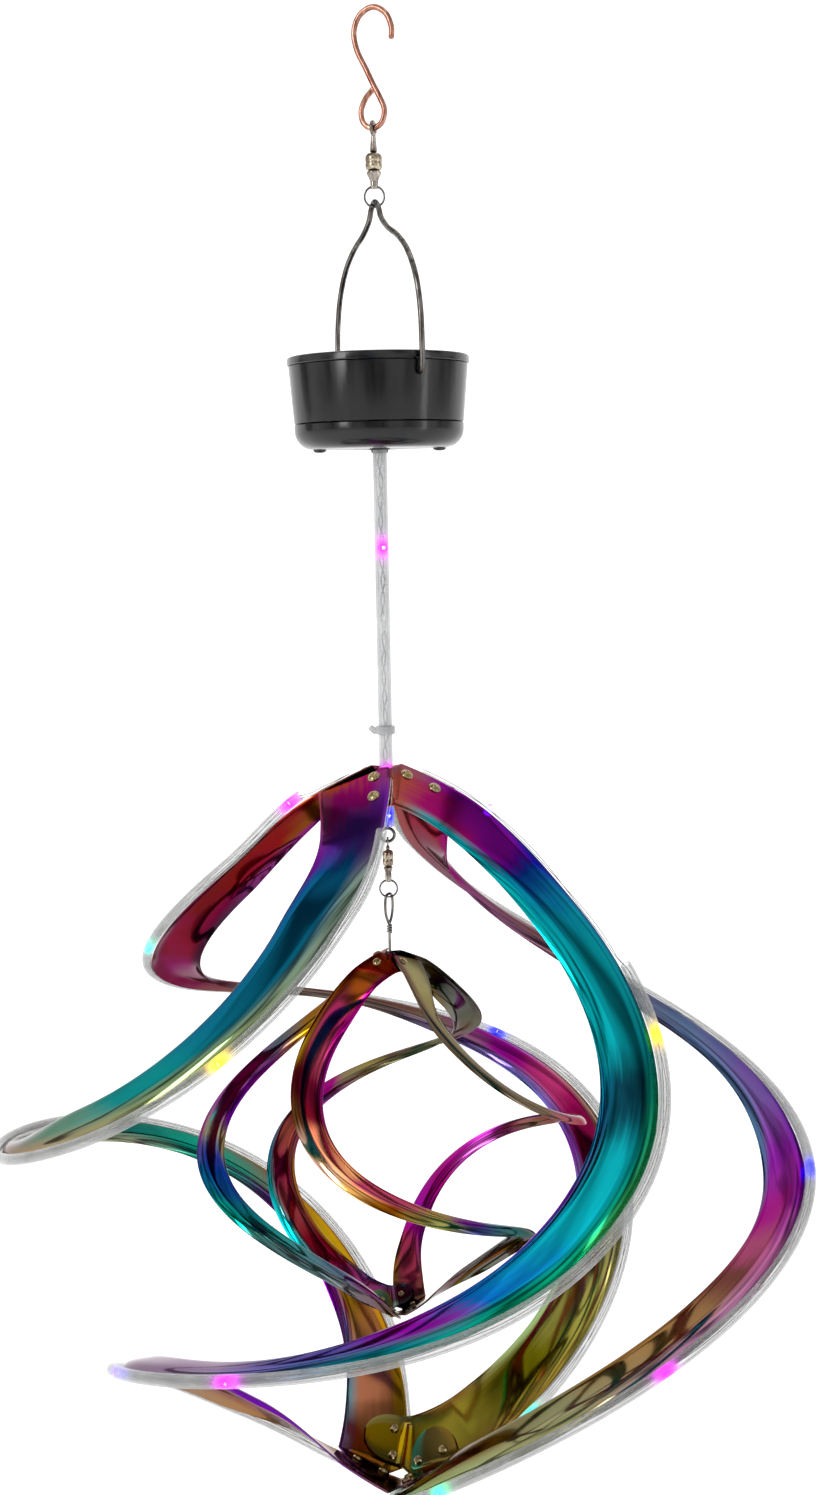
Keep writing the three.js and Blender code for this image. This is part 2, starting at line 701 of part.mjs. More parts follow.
add("hanger_eye", hangerEye(), STEEL);
add("inner_swivel_eye", swivelEye(INNER_PIVOT, 1.6, 0.45, 0.6, 1.2, 126.4), STEEL);
add("inner_swivel_barrel", swivelBarrel(2.3, 122, 128.8, 0.95, 0.7), STEEL);
add("inner_swivel_shank", swivelShank(123.3, 1.2, 122, 1.9, INNER_RING_PIVOT, 0.85, 1.45), STEEL);
add("inner_ring", eye(INNER_RING_RADIUS, INNER_RING_WIRE, INNER_RING_PIVOT - INNER_RING_RADIUS, 6, 24), STEEL);
add("inner_link", innerLink(), STEEL);
BLADE_TURNS.forEach((turn, i) => add(`inner_blade_${LETTERS[i]}`, blade(INNER, turn), RAINBOW));

export default sculpture;
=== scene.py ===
# The looks of the hanging wind sculpture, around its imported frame: fine metal blades with a rainbow film, light
# tubes with their strings of lights, wires, swivels, rivets and the solar cup. Lengths are in millimetres from
# the middle of the spinners, as in the CAD model, and place() turns them into the frame's metres.

import math
import random

import bpy
from mathutils import Matrix, Vector


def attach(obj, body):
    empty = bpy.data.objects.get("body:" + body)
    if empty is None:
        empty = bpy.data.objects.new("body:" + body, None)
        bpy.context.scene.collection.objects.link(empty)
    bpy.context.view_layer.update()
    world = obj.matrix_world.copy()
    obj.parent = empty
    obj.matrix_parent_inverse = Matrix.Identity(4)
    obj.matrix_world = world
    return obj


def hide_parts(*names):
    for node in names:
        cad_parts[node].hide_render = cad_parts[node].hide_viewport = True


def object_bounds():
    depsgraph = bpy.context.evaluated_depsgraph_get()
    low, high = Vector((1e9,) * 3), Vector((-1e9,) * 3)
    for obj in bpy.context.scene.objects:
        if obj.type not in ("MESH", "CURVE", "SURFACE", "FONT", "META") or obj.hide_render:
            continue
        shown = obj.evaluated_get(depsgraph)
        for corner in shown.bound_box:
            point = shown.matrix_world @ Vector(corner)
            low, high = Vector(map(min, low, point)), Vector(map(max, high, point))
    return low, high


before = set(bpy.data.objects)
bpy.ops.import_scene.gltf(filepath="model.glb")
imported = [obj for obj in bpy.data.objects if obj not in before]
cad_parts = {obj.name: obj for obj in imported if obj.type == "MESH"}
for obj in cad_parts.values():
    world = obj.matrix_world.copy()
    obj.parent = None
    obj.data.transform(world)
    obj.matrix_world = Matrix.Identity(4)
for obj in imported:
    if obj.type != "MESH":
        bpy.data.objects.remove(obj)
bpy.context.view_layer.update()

# ---- Driving dimensions ----

HANG_HEIGHT = 466  # from the middle of the spinners up to the hanging point
SHEET_GAP = 0.35

OUTER = dict(
    radius=176.5, half_height=170.5, terms=(0.5, 1.05, -0.55), twist=(114, -14), hand=1, yaw=-93,
    width_middle=17, width_end=33, tilt=57, tilt_end=66, tilt_span=0.15, roll=4, sheet=0.9,
    start=0.98, sink=1.6, tab_start=7.5, tab_width=24, tab_reach=21, steps=220,
)
INNER = dict(
    radius=86.4, half_height=87.8, terms=(0.6, 0.85, -0.45), twist=(108, -20), hand=-1, yaw=-77,
    width_middle=11.5, width_end=15.5, tilt=48, tilt_end=66, tilt_span=0.2, roll=3, sheet=0.8,
    start=0.97, sink=1.8, tab_start=4.2, tab_width=11, tab_reach=10, steps=160,
)
BLADE_TURNS = {"a": -90, "b": 0, "c": 180, "d": 90}
EDGE_STRETCH = 2.15

# Each outer blade is bent a little differently by hand. By its turn: degrees about the axis and degrees of tilt
# that its upper arm is off the even shape, and then the same for its lower arm.
BENDS = {-90: (-3, 20, 0, 0), 0: (-2, 10, 2, -8), 180: (7, 0, 0, 0), 90: (4, -5, 3, -5)}
BOW_PRESSED_IN = {-90: 5.5, 0: 0, 180: 0, 90: 0}  # how much smaller each outer blade's bow is

TUBE_RADIUS = 2.3
TUBE_BORE = 1.7
TUBE_STARTS = {"a": -0.87, "b": -0.64, "c": -0.895, "d": -0.86}
TUBE_END = 0.955
STRING_START = -0.955
STRING_END = 0.945
LED_WIRE = 0.17
LED_WIRE_TURNS = 8
TUBE_GLOW_REACH = 4.4

RIVET_DISTANCES = (11, 24.5)
RIVET_INSET = 7

HOOK_WIRE = 1.15
HOOK_YAW = -20
BAIL_AZIMUTH = -64
BAIL_SPREAD = 38.9

CUP_BOTTOM = 297.5
CUP_SEAM = 307.5
CUP_TOP = 334
CUP_RIM_RADIUS = 37
CUP_WALL_RADIUS = 34.6
CUP_BODY = "lamp_and_outer_spinner"
PANEL_POINTS = 64  # round the bezel and the panel
BAIL_HOLE_HEIGHT = 326
SCREW_RADIUS = 24.5
BUTTON_Y = 16

RISER_RADIUS = 2.9
RISER_BORE = 2.1
RISER_TOP = 305.5
RISER_FOOT = 139.5
TIE_HEIGHT = 181
RISER_GLOW_REACH = 3.6
RISER_STRING_FOOT = 156
RISER_STRING_TOP = 303
RISER_STRING_POINTS = 200
RISER_STRING_SWAYS = 38

HOOK_EYE = HANG_HEIGHT + HOOK_WIRE - 45
TOP_RING_PIVOT = 400.1
TOP_RING_RADIUS = 3.95
TOP_RING_WIRE = 0.5
BAIL_TOP = TOP_RING_PIVOT - 2 * TOP_RING_RADIUS + TOP_RING_WIRE + HOOK_WIRE + SHEET_GAP
HANGER_EYE = 135.6
INNER_PIVOT = HANGER_EYE - 2.9
INNER_RING_PIVOT = 115.8
INNER_RING_RADIUS = 3.75
INNER_RING_WIRE = 0.45
LINK_PIVOT = INNER_RING_PIVOT - 2 * INNER_RING_RADIUS
LINK_WIRE = 0.6

# A swivel's eye, the shank between eye and barrel, the barrel, and the lower shank with its drilled tip
TOP_SWIVEL = dict(
    pivot=HOOK_EYE, yaw=HOOK_YAW, eye_radius=2.4, eye_wire=0.7, shank_radius=0.95, head_height=409.9, head=1.9,
    low=406, high=412.6, radius=3.4, mouth=1.4, head_low=407.4, neck=406, shoulder=3, tip_radius=1.7, hole=0.95,
    tip=TOP_RING_PIVOT,
)
INNER_SWIVEL = dict(
    pivot=INNER_PIVOT, yaw=0, eye_radius=1.6, eye_wire=0.45, shank_radius=0.6, head_height=126.4, head=1.2,
    low=122, high=128.8, radius=2.3, mouth=0.95, head_low=123.3, neck=122, shoulder=1.9, tip_radius=1.45,
    hole=0.85, tip=INNER_RING_PIVOT,
)

# The lights and their colours: by height in the riser, and by place from -1 to 1 along each blade's edge
RISER_LEDS = ((257.4, "magenta"), (162.5, "magenta"), (144.5, "blue"))
LEDS = {
    "a": ((-0.57, "yellow"),),
    "b": ((-0.87, "violet"), (-0.55, "yellow"), (0.15, "magenta"), (0.37, "violet")),
    "c": ((-0.88, "magenta"), (-0.57, "cyan"), (-0.2, "orange"), (0.14, "blue"), (0.82, "cyan")),
    "d": ((0.05, "blue"), (0.42, "magenta"), (0.74, "green"), (0.86, "green")),
}

# The camera, fitted to the photograph: it stands in front of the spinners, above their middle, looking down.
CAMERA_DISTANCE = 648
CAMERA_HEIGHT = 283.1
CAMERA_PITCH = math.radians(-9.61)
CAMERA_ROLL = math.radians(-1.17)
CAMERA_LENS = 37.44
CAMERA_SHIFT = 0.0159

# ---- Small helpers ----


def place(point):
    """A point in the sculpture's millimetres as the frame's metres."""
    x, y, z = point
    return Vector((x, y, z - HANG_HEIGHT)) / 1000


def ramp(value, low, high):
    t = min(max((value - low) / (high - low), 0.0), 1.0)
    return t * t * (3 - 2 * t)


def linear(hex_colour):
    """An sRGB colour written as hex digits, as linear RGBA."""
    channels = [int(hex_colour[i:i + 2], 16) / 255 for i in (0, 2, 4)]
    return [c / 12.92 if c <= 0.04045 else ((c + 0.055) / 1.055) ** 2.4 for c in channels] + [1.0]


def make_object(name, points, faces, material, body, replaced=(), uvs=None):
    """A smooth-shaded mesh piece of points in millimetres, riding on a body."""
    mesh = bpy.data.meshes.new(name)
    mesh.from_pydata([place(p) for p in points], [], faces)
    if uvs:
        layer = mesh.uv_layers.new(name="UVMap")
        for loop in mesh.loops:
            layer.data[loop.index].uv = uvs[loop.vertex_index]
    mesh.polygons.foreach_set("use_smooth", [True] * len(mesh.polygons))
    mesh.set_sharp_from_angle(angle=math.radians(40))
    mesh.materials.append(material)
    piece = bpy.data.objects.new(name, mesh)
    bpy.context.collection.objects.link(piece)
    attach(piece, body)
    if replaced:
        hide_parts(*replaced)
    return piece


class Shape:
    """Points and faces that parts of one piece are added to."""

    def __init__(self):
        self.points, self.faces, self.uvs = [], [], []

    def rings(self, rings, uvs=None, caps=True):
        """Joins rings of points, each going the same way round, with flat ends."""
        base, count = len(self.points), len(rings[0])
        for row, ring in enumerate(rings):
            self.points += [Vector(p) for p in ring]
            self.uvs += uvs[row] if uvs else [(row / len(rings), i / count) for i in range(count)]
        for row in range(len(rings) - 1):
            for i in range(count):
                a, b = base + row * count + i, base + row * count + (i + 1) % count
                self.faces.append((a, b, b + count, a + count))
        if caps:
            last = base + (len(rings) - 1) * count
            self.faces.append(tuple(range(base + count - 1, base - 1, -1)))
            self.faces.append(tuple(range(last, last + count)))
        return self

    def tube(self, path, radius, sides=12, closed=False, caps=True):
        """A round wire along points; radius is a number or a function of the share of the way along."""
        path = [Vector(p) for p in path]
        count = len(path)
        tangents = []
        for i in range(count):
            before = path[i - 1] if (i or closed) else path[0]
            after = path[(i + 1) % count] if (i + 1 < count or closed) else path[-1]
            tangents.append((after - before).normalized())
        normal = tangents[0].orthogonal().normalized()
        rings = []
        for i, tangent in enumerate(tangents):
            normal = (normal - tangent * normal.dot(tangent)).normalized()
            side = tangent.cross(normal)
            r = radius(i / (count - 1)) if callable(radius) else radius
            angles = [2 * math.pi * k / sides for k in range(sides)]
            rings.append([path[i] + r * (math.cos(a) * normal + math.sin(a) * side) for a in angles])
        if closed:
            return self.closed_rings(rings)
        return self.rings(rings, caps=caps)

    def closed_rings(self, rings):
        """Joins rings into a loop, turning the last join so that it doesn't twist."""
        base, count = len(self.points), len(rings[0])
        offset = min(range(count), key=lambda k: (rings[-1][k] - rings[0][0]).length)
        for row, ring in enumerate(rings):
            self.points += ring
            self.uvs += [(row / len(rings), i / count) for i in range(count)]
        for row in range(len(rings)):
            turn = offset if row == len(rings) - 1 else 0
            for i in range(count):
                j = (i + 1) % count
                a, b = base + row * count + (i + turn) % count, base + row * count + (j + turn) % count
                above = base + ((row + 1) % len(rings)) * count
                self.faces.append((a, b, above + j, above + i))
        return self

    def lathe(self, profile, segments=48, turn=Matrix.Identity(3), at=(0, 0, 0), closed=False):
        """A solid of revolution about Z of (radius, height) pairs; a closed profile has no point on the axis."""
        rings = []
        at = Vector(at)
        for radius, height in profile:
            angles = [2 * math.pi * k / segments for k in range(segments if radius else 1)]
            ring = [Vector((radius * math.cos(a), radius * math.sin(a), height)) for a in angles]
            rings.append([at + turn @ point for point in ring])
        starts = []
        for row, ring in enumerate(rings):
            starts.append(len(self.points))
            self.points += ring
            self.uvs += [(row / len(rings), k / segments) for k in range(len(ring))]
        pairs = list(zip(range(len(rings)), range(1, len(rings))))
        if closed:
            pairs.append((len(rings) - 1, 0))
        for low, high in pairs:
            a, b = starts[low], starts[high]
            for k in range(segments):
                m = (k + 1) % segments
                if len(rings[low]) == 1:
                    self.faces.append((a, b + m, b + k))
                elif len(rings[high]) == 1:
                    self.faces.append((a + k, a + m, b))
                else:
                    self.faces.append((a + k, a + m, b + m, b + k))
        return self

    def make(self, name, material, body, slot, replaced=()):
        return make_object(name, self.points, self.faces, material, body, replaced, self.uvs)


def rounded(profile, radius, steps=4):
    """A profile with each inner corner rounded; corners on the axis stay."""
    result = [profile[0]]
    for before, corner, after in zip(profile, profile[1:], profile[2:]):
        here = Vector(corner)
        back, ahead = Vector(before) - here, Vector(after) - here
        reach = min(radius, back.length * 0.45, ahead.length * 0.45)
        start, end = here + back.normalized() * reach, here + ahead.normalized() * reach
        for k in range(steps + 1):
            t = k / steps
            point = start * (1 - t) ** 2 + here * 2 * t * (1 - t) + end * t ** 2
            result.append((max(point.x, 0.01), point.y))
    return result + [profile[-1]]


def smooth_path(points, steps=12):
    """A centripetal Catmull-Rom curve through points, as the CAD wires follow."""
    points = [Vector(p) for p in points]
    ends = [2 * points[0] - points[1]] + points + [2 * points[-1] - points[-2]]
    result = []
    for p0, p1, p2, p3 in zip(ends, ends[1:], ends[2:], ends[3:]):
        t1 = (p1 - p0).length ** 0.5
        t2 = t1 + (p2 - p1).length ** 0.5
        t3 = t2 + (p3 - p2).length ** 0.5
        for k in range(steps):
            t = t1 + (t2 - t1) * k / steps
            a1 = p0.lerp(p1, t / t1)
            a2 = p1.lerp(p2, (t - t1) / (t2 - t1))
            a3 = p2.lerp(p3, (t - t2) / (t3 - t2))
            b1 = a1.lerp(a2, t / t2)
            b2 = a2.lerp(a3, (t - t1) / (t3 - t1))
            result.append(b1.lerp(b2, (t - t1) / (t2 - t1)))
    return result + [points[-1]]


def turned_about_z(points, degrees):
    spin = Matrix.Rotation(math.radians(degrees), 3, "Z")
    return [spin @ Vector(p) for p in points]


def circle(radius, height, plane="XZ", steps=48):
    """Points of a standing circle about the axis."""
    result = []
    for k in range(steps):
        a = 2 * math.pi * k / steps
        x, z = radius * math.cos(a), height + radius * math.sin(a)
        result.append((x, 0, z) if plane == "XZ" else (0, x, z))
    return result


# ---- Blade geometry: the same curves as the CAD blades, in finer steps ----


def bend_at(kind, turn, u):
    """How far a blade's azimuth and tilt are off the even shape at u; nothing at the hubs and at the bow."""
    if kind is not OUTER:
        return 0, 0
    arm = ramp(abs(u), 0.04, 0.35) * (1 - ramp(abs(u), 0.74, 0.9))
    swing_up, lean_up, swing_low, lean_low = BENDS[turn]
    return (swing_up * arm, lean_up * arm) if u < 0 else (swing_low * arm, lean_low * arm)


def azimuth_at(kind, turn, u):
    swing, ease = kind["twist"]
    azimuth = kind["yaw"] + turn - kind["hand"] * (swing * u + ease * u ** 3)
    return math.radians(azimuth + bend_at(kind, turn, u)[0])


def edge_point(kind, turn, u):
    reach, azimuth = kind["radius"] * (1 - u * u), azimuth_at(kind, turn, u)
    if kind is OUTER:
        reach -= BOW_PRESSED_IN[turn] * (1 - ramp(abs(u), 0.1, 0.6))
    first, third, fifth = kind["terms"]
    height = -kind["half_height"] * (first * u + third * u ** 3 + fifth * u ** 5)
    return Vector((reach * math.cos(azimuth), reach * math.sin(azimuth), height))


class BladeFrame:
    """A blade's edge at u, the way across its web, its front face and its width."""

    def __init__(self, kind, turn, u):
        step = 1e-4
        self.edge = edge_point(kind, turn, u)
        rise_by = edge_point(kind, turn, u + step) - edge_point(kind, turn, u - step)
        along = rise_by.normalized()
        rise, spread = rise_by.z / (2 * step), -2 * kind["radius"] * u
        azimuth = azimuth_at(kind, turn, u)
        outward = Vector((-rise * math.cos(azimuth), -rise * math.sin(azimuth), spread))
        outward = (outward - along * outward.dot(along)).normalized()
        lean = kind["tilt"] + (kind["tilt_end"] - kind["tilt"]) * ramp(abs(u), 0.75, 0.97)
        lean += bend_at(kind, turn, u)[1]
        angle = -math.radians(lean) * math.tanh(u / kind["tilt_span"])
        sideways = along.cross(outward) * kind["hand"]
        self.across = -math.cos(angle) * outward + math.sin(angle) * sideways
        self.front = self.across.cross(along) * kind["hand"]
        grown = abs(u) ** 1.5
        self.width = kind["width_middle"] + (kind["width_end"] - kind["width_middle"]) * grown

    def at(self, distance, lift):
        return self.edge + self.across * distance + self.front * lift


def sink_at(kind, u):
    """Near a hub the sheet sinks towards the inside, to pass under the edge of its neighbour."""
    return math.copysign(kind["sink"], u) * min(max((abs(u) - 0.9) / 0.08, 0.0), 1.0)


def edge_spot(kind, end, distance):
    return end * (1 - distance / (EDGE_STRETCH * kind["radius"]))


STATIONS = [0, 0.02, 0.06, 0.11, 0.17, 0.25, 0.35, 0.5, 0.65, 0.75, 0.83, 0.89, 0.94, 0.98, 1]


def edge_roll(station):
    """How far the rolled edges fall away from the web, from 0 in the middle to 1 at an edge."""
    return abs(2 * station - 1) ** 4.2


def sheet_ring(line, sheet, spot):
    """Both sides of the sheet over a line of (distance, lift) pairs, with slightly rounded edges."""
    sides = []
    for side in (1, -1):
        ring = []
        for i, (x, y) in enumerate(line):
            x0, y0 = line[max(i - 1, 0)]
            x1, y1 = line[min(i + 1, len(line) - 1)]
            at_edge = i in (0, len(line) - 1)
            shift = side * sheet * (0.3 if at_edge else 0.5) / math.hypot(x1 - x0, y1 - y0)
            ring.append(spot(x - (y1 - y0) * shift, y + (x1 - x0) * shift))
        sides.append(ring)
    return sides[0] + sides[1][::-1]


def ring_uvs(u):
    """The share of the way along the blade, and the place across it: 0 to 1 in front, 1 to 2 behind."""
    along = 0.5 + u / 2
    return [(along, s) for s in STATIONS] + [(along, 2 - s) for s in reversed(STATIONS)]


def blade_rings(kind, turn):
    rings, uvs = [], []
    for step in range(kind["steps"] + 1):
        u = kind["start"] * math.sin((step / kind["steps"] - 0.5) * math.pi * 0.7) / math.sin(0.35 * math.pi)
        at = BladeFrame(kind, turn, u)
        depth = kind["roll"] * (1 - ramp(abs(u), 0.72, 0.9))
        sunk = sink_at(kind, u)
        line = [(s * at.width, sunk - depth * edge_roll(s)) for s in STATIONS]
        rings.append(sheet_ring(line, kind["sheet"], at.at))
        uvs.append(ring_uvs(u))
    return rings, uvs


def tab_rings(kind, turn, end):
    """The rounded tab at one end, which lies inside the neighbour's plate."""
    neighbour = (turn + 90 * kind["hand"] * end + 90) % 360 - 90
    rings, uvs = [], []
    for row in (0.995, 0.97, 0.92, 0.85, 0.75, 0.62, 0.5, 0.4, 0.27, 0.14):
        narrowing = math.sqrt(1 - ((row - 0.4) / 0.62) ** 2) if row > 0.4 else 1
        sides = []
        for side in (1, -1):
            ring = []
            for station in STATIONS:
                distance = kind["tab_start"] + kind["tab_width"] * (0.5 + (station - 0.5) * narrowing)
                u = edge_spot(kind, end, distance)
                lift = sink_at(kind, u) + end * (kind["sheet"] + SHEET_GAP) + side * kind["sheet"] / 2
                ring.append(BladeFrame(kind, neighbour, u).at(row * kind["tab_reach"], lift))
            sides.append(ring)
        rings.append(sides[0] + sides[1][::-1])
        uvs.append(ring_uvs(end * (0.985 + 0.015 * row)))
    return rings, uvs


def make_blade(kind, turn, name, material, body, slot):
    first, first_uvs = tab_rings(kind, turn, -1)
    middle, middle_uvs = blade_rings(kind, turn)
    last, last_uvs = tab_rings(kind, turn, 1)
    rings = first + middle + last[::-1]
    uvs = first_uvs + middle_uvs + last_uvs[::-1]
    if kind["hand"] < 0:
        rings = [ring[::-1] for ring in rings]
        uvs = [row[::-1] for row in uvs]
    shape = Shape().rings(rings, uvs)
    return shape.make(f"{name}_sheet", material, body, slot, (name,))


def rivet_place(kind, turn, end, distance, inset):
    """Where a rivet goes through a plate, and the way out of the hub there."""

    def spot(along):
        u = edge_spot(kind, end, along)
        return BladeFrame(kind, turn, u).at(inset, sink_at(kind, u))

    across = BladeFrame(kind, turn, edge_spot(kind, end, distance)).across
    out = across.cross(spot(distance + 2) - spot(distance - 2)).normalized() * kind["hand"]
    return spot(distance), out


def standing(out):
    """The rotation that turns Z to a direction."""
    return Vector((0, 0, 1)).rotation_difference(out).to_matrix()


def make_rivet(name, spot, out, kind, head, material, body, slot, replaced=()):
    """A domed blind rivet with a dimple in its head and a small bulge on the tab's side."""
    seat = kind["sheet"] / 2 + 0.05
    tail = -(kind["sheet"] * 1.5 + SHEET_GAP + 0.05)
    high = head * 0.5
    profile = [
        (0, seat + high * 0.55), (head * 0.16, seat + high * 0.58), (head * 0.24, seat + high * 0.92),
        (head * 0.36, seat + high), (head * 0.58, seat + high * 0.9), (head * 0.78, seat + high * 0.66),
        (head * 0.93, seat + high * 0.34), (head, seat + high * 0.08), (head * 0.97, seat),
        (head * 0.5, seat), (head * 0.5, tail), (head * 0.74, tail), (head * 0.78, tail - head * 0.12),
        (head * 0.6, tail - head * 0.4), (head * 0.3, tail - head * 0.46), (0, tail - head * 0.4),
    ]
    shape = Shape().lathe(profile[::-1], 28, standing(out), spot)
    return shape.make(name, material, body, slot, replaced)


# ---- Materials ----


class Nodes:
    """A material's node tree, with short ways to add to it."""

    def __init__(self, name):
        self.material = bpy.data.materials.new(name)
        self.material.use_nodes = True
        self.tree = self.material.node_tree
        self.shader = self.tree.nodes["Principled BSDF"]

    def add(self, kind, **values):
        node = self.tree.nodes.new(kind)
        for key, value in values.items():
            setattr(node, key, value)
        return node

    def link(self, source, target):
        self.tree.links.new(source, target)

    def where(self):
        """The object's own coordinates."""
        return self.add("ShaderNodeTexCoord").outputs["Object"]

    def set(self, **values):
        for key, value in values.items():
            self.shader.inputs[key.replace("_", " ").title().replace("Ior", "IOR")].default_value = value

    def noise(self, vector, scale, detail=3.0, roughness=0.5):
        node = self.add("ShaderNodeTexNoise")
        node.inputs["Scale"].default_value = scale
        node.inputs["Detail"].default_value = detail
        node.inputs["Roughness"].default_value = roughness
        self.link(vector, node.inputs["Vector"])
        return node.outputs["Fac"]

    def math(self, operation, first, second=None, third=None):
        node = self.add("ShaderNodeMath", operation=operation)
        for socket, value in zip(node.inputs, (first, second, third)):
            if value is None:
                continue
            if isinstance(value, (int, float)):
                socket.default_value = value
            else:
                self.link(value, socket)
        return node.outputs["Value"]

    def spread(self, value, low, high, out_low, out_high):
        node = self.add("ShaderNodeMapRange")
        self.link(value, node.inputs["Value"])
        for key, number in (("From Min", low), ("From Max", high), ("To Min", out_low), ("To Max", out_high)):
            node.inputs[key].default_value = number
        return node.outputs["Result"]

    def mix(self, share, first, second):
        node = self.add("ShaderNodeMix", data_type="RGBA")
        self.link(share, node.inputs["Factor"])
        for socket, value in ((node.inputs[6], first), (node.inputs[7], second)):
            if isinstance(value, (list, tuple)):
                socket.default_value = value
            else:
                self.link(value, socket)
        return node.outputs[2]

    def ramp(self, value, stops):
        """A colour ramp of (place, hex colour) stops."""
        node = self.add("ShaderNodeValToRGB")
        node.color_ramp.interpolation = "EASE"
        elements = node.color_ramp.elements
        while len(elements) < len(stops):
            elements.new(0.5)
        for element, (place_on, colour) in zip(elements, stops):
            element.position = place_on
            element.color = linear(colour)
        self.link(value, node.inputs["Fac"])
        return node.outputs["Color"]

    def stretched(self, source, scale):
        node = self.add("ShaderNodeMapping")
        node.inputs["Scale"].default_value = scale
        self.link(source, node.inputs["Vector"])
        return node.outputs["Vector"]

    def bump(self, height, strength, distance):
        node = self.add("ShaderNodeBump")
        node.inputs["Strength"].default_value = strength
        node.inputs["Distance"].default_value = distance
        self.link(height, node.inputs["Height"])
        self.link(node.outputs["Normal"], self.shader.inputs["Normal"])


def surface(name, light, dark, metallic, rough, grain=900, patch=60, bump=0.15, depth=0.00005, **extra):
    """A material of two close colours in soft patches, with its own grain and uneven gloss."""
    n = Nodes(name)
    where = n.where()
    patches = n.noise(where, patch, 4)
    fine = n.noise(where, grain, 2)
    colour = n.mix(n.spread(patches, 0.35, 0.65, 0, 1), linear(dark), linear(light))
    n.link(colour, n.shader.inputs["Base Color"])
    n.link(n.spread(patches, 0.3, 0.7, rough[0], rough[1]), n.shader.inputs["Roughness"])
    n.bump(fine, bump, depth)
    n.set(metallic=metallic, **extra)
    return n.material


def drawn_metal(name, light, dark, rough, stain=None):
    """Polished metal with faint drawing lines, and a stain of another colour in places."""
    n = Nodes(name)
    where = n.where()
    lines = n.noise(n.stretched(where, (900, 900, 90)), 1, 3)
    patches = n.noise(where, 160, 3)
    colour = n.mix(n.spread(lines, 0.3, 0.7, 0, 1), linear(dark), linear(light))
    if stain:
        colour = n.mix(n.spread(patches, 0.5, 0.72, 0, 1), colour, linear(stain))
    n.link(colour, n.shader.inputs["Base Color"])
    n.link(n.spread(patches, 0.3, 0.7, rough[0], rough[1]), n.shader.inputs["Roughness"])
    n.bump(lines, 0.12, 0.00003)
    n.set(metallic=1.0)
    return n.material


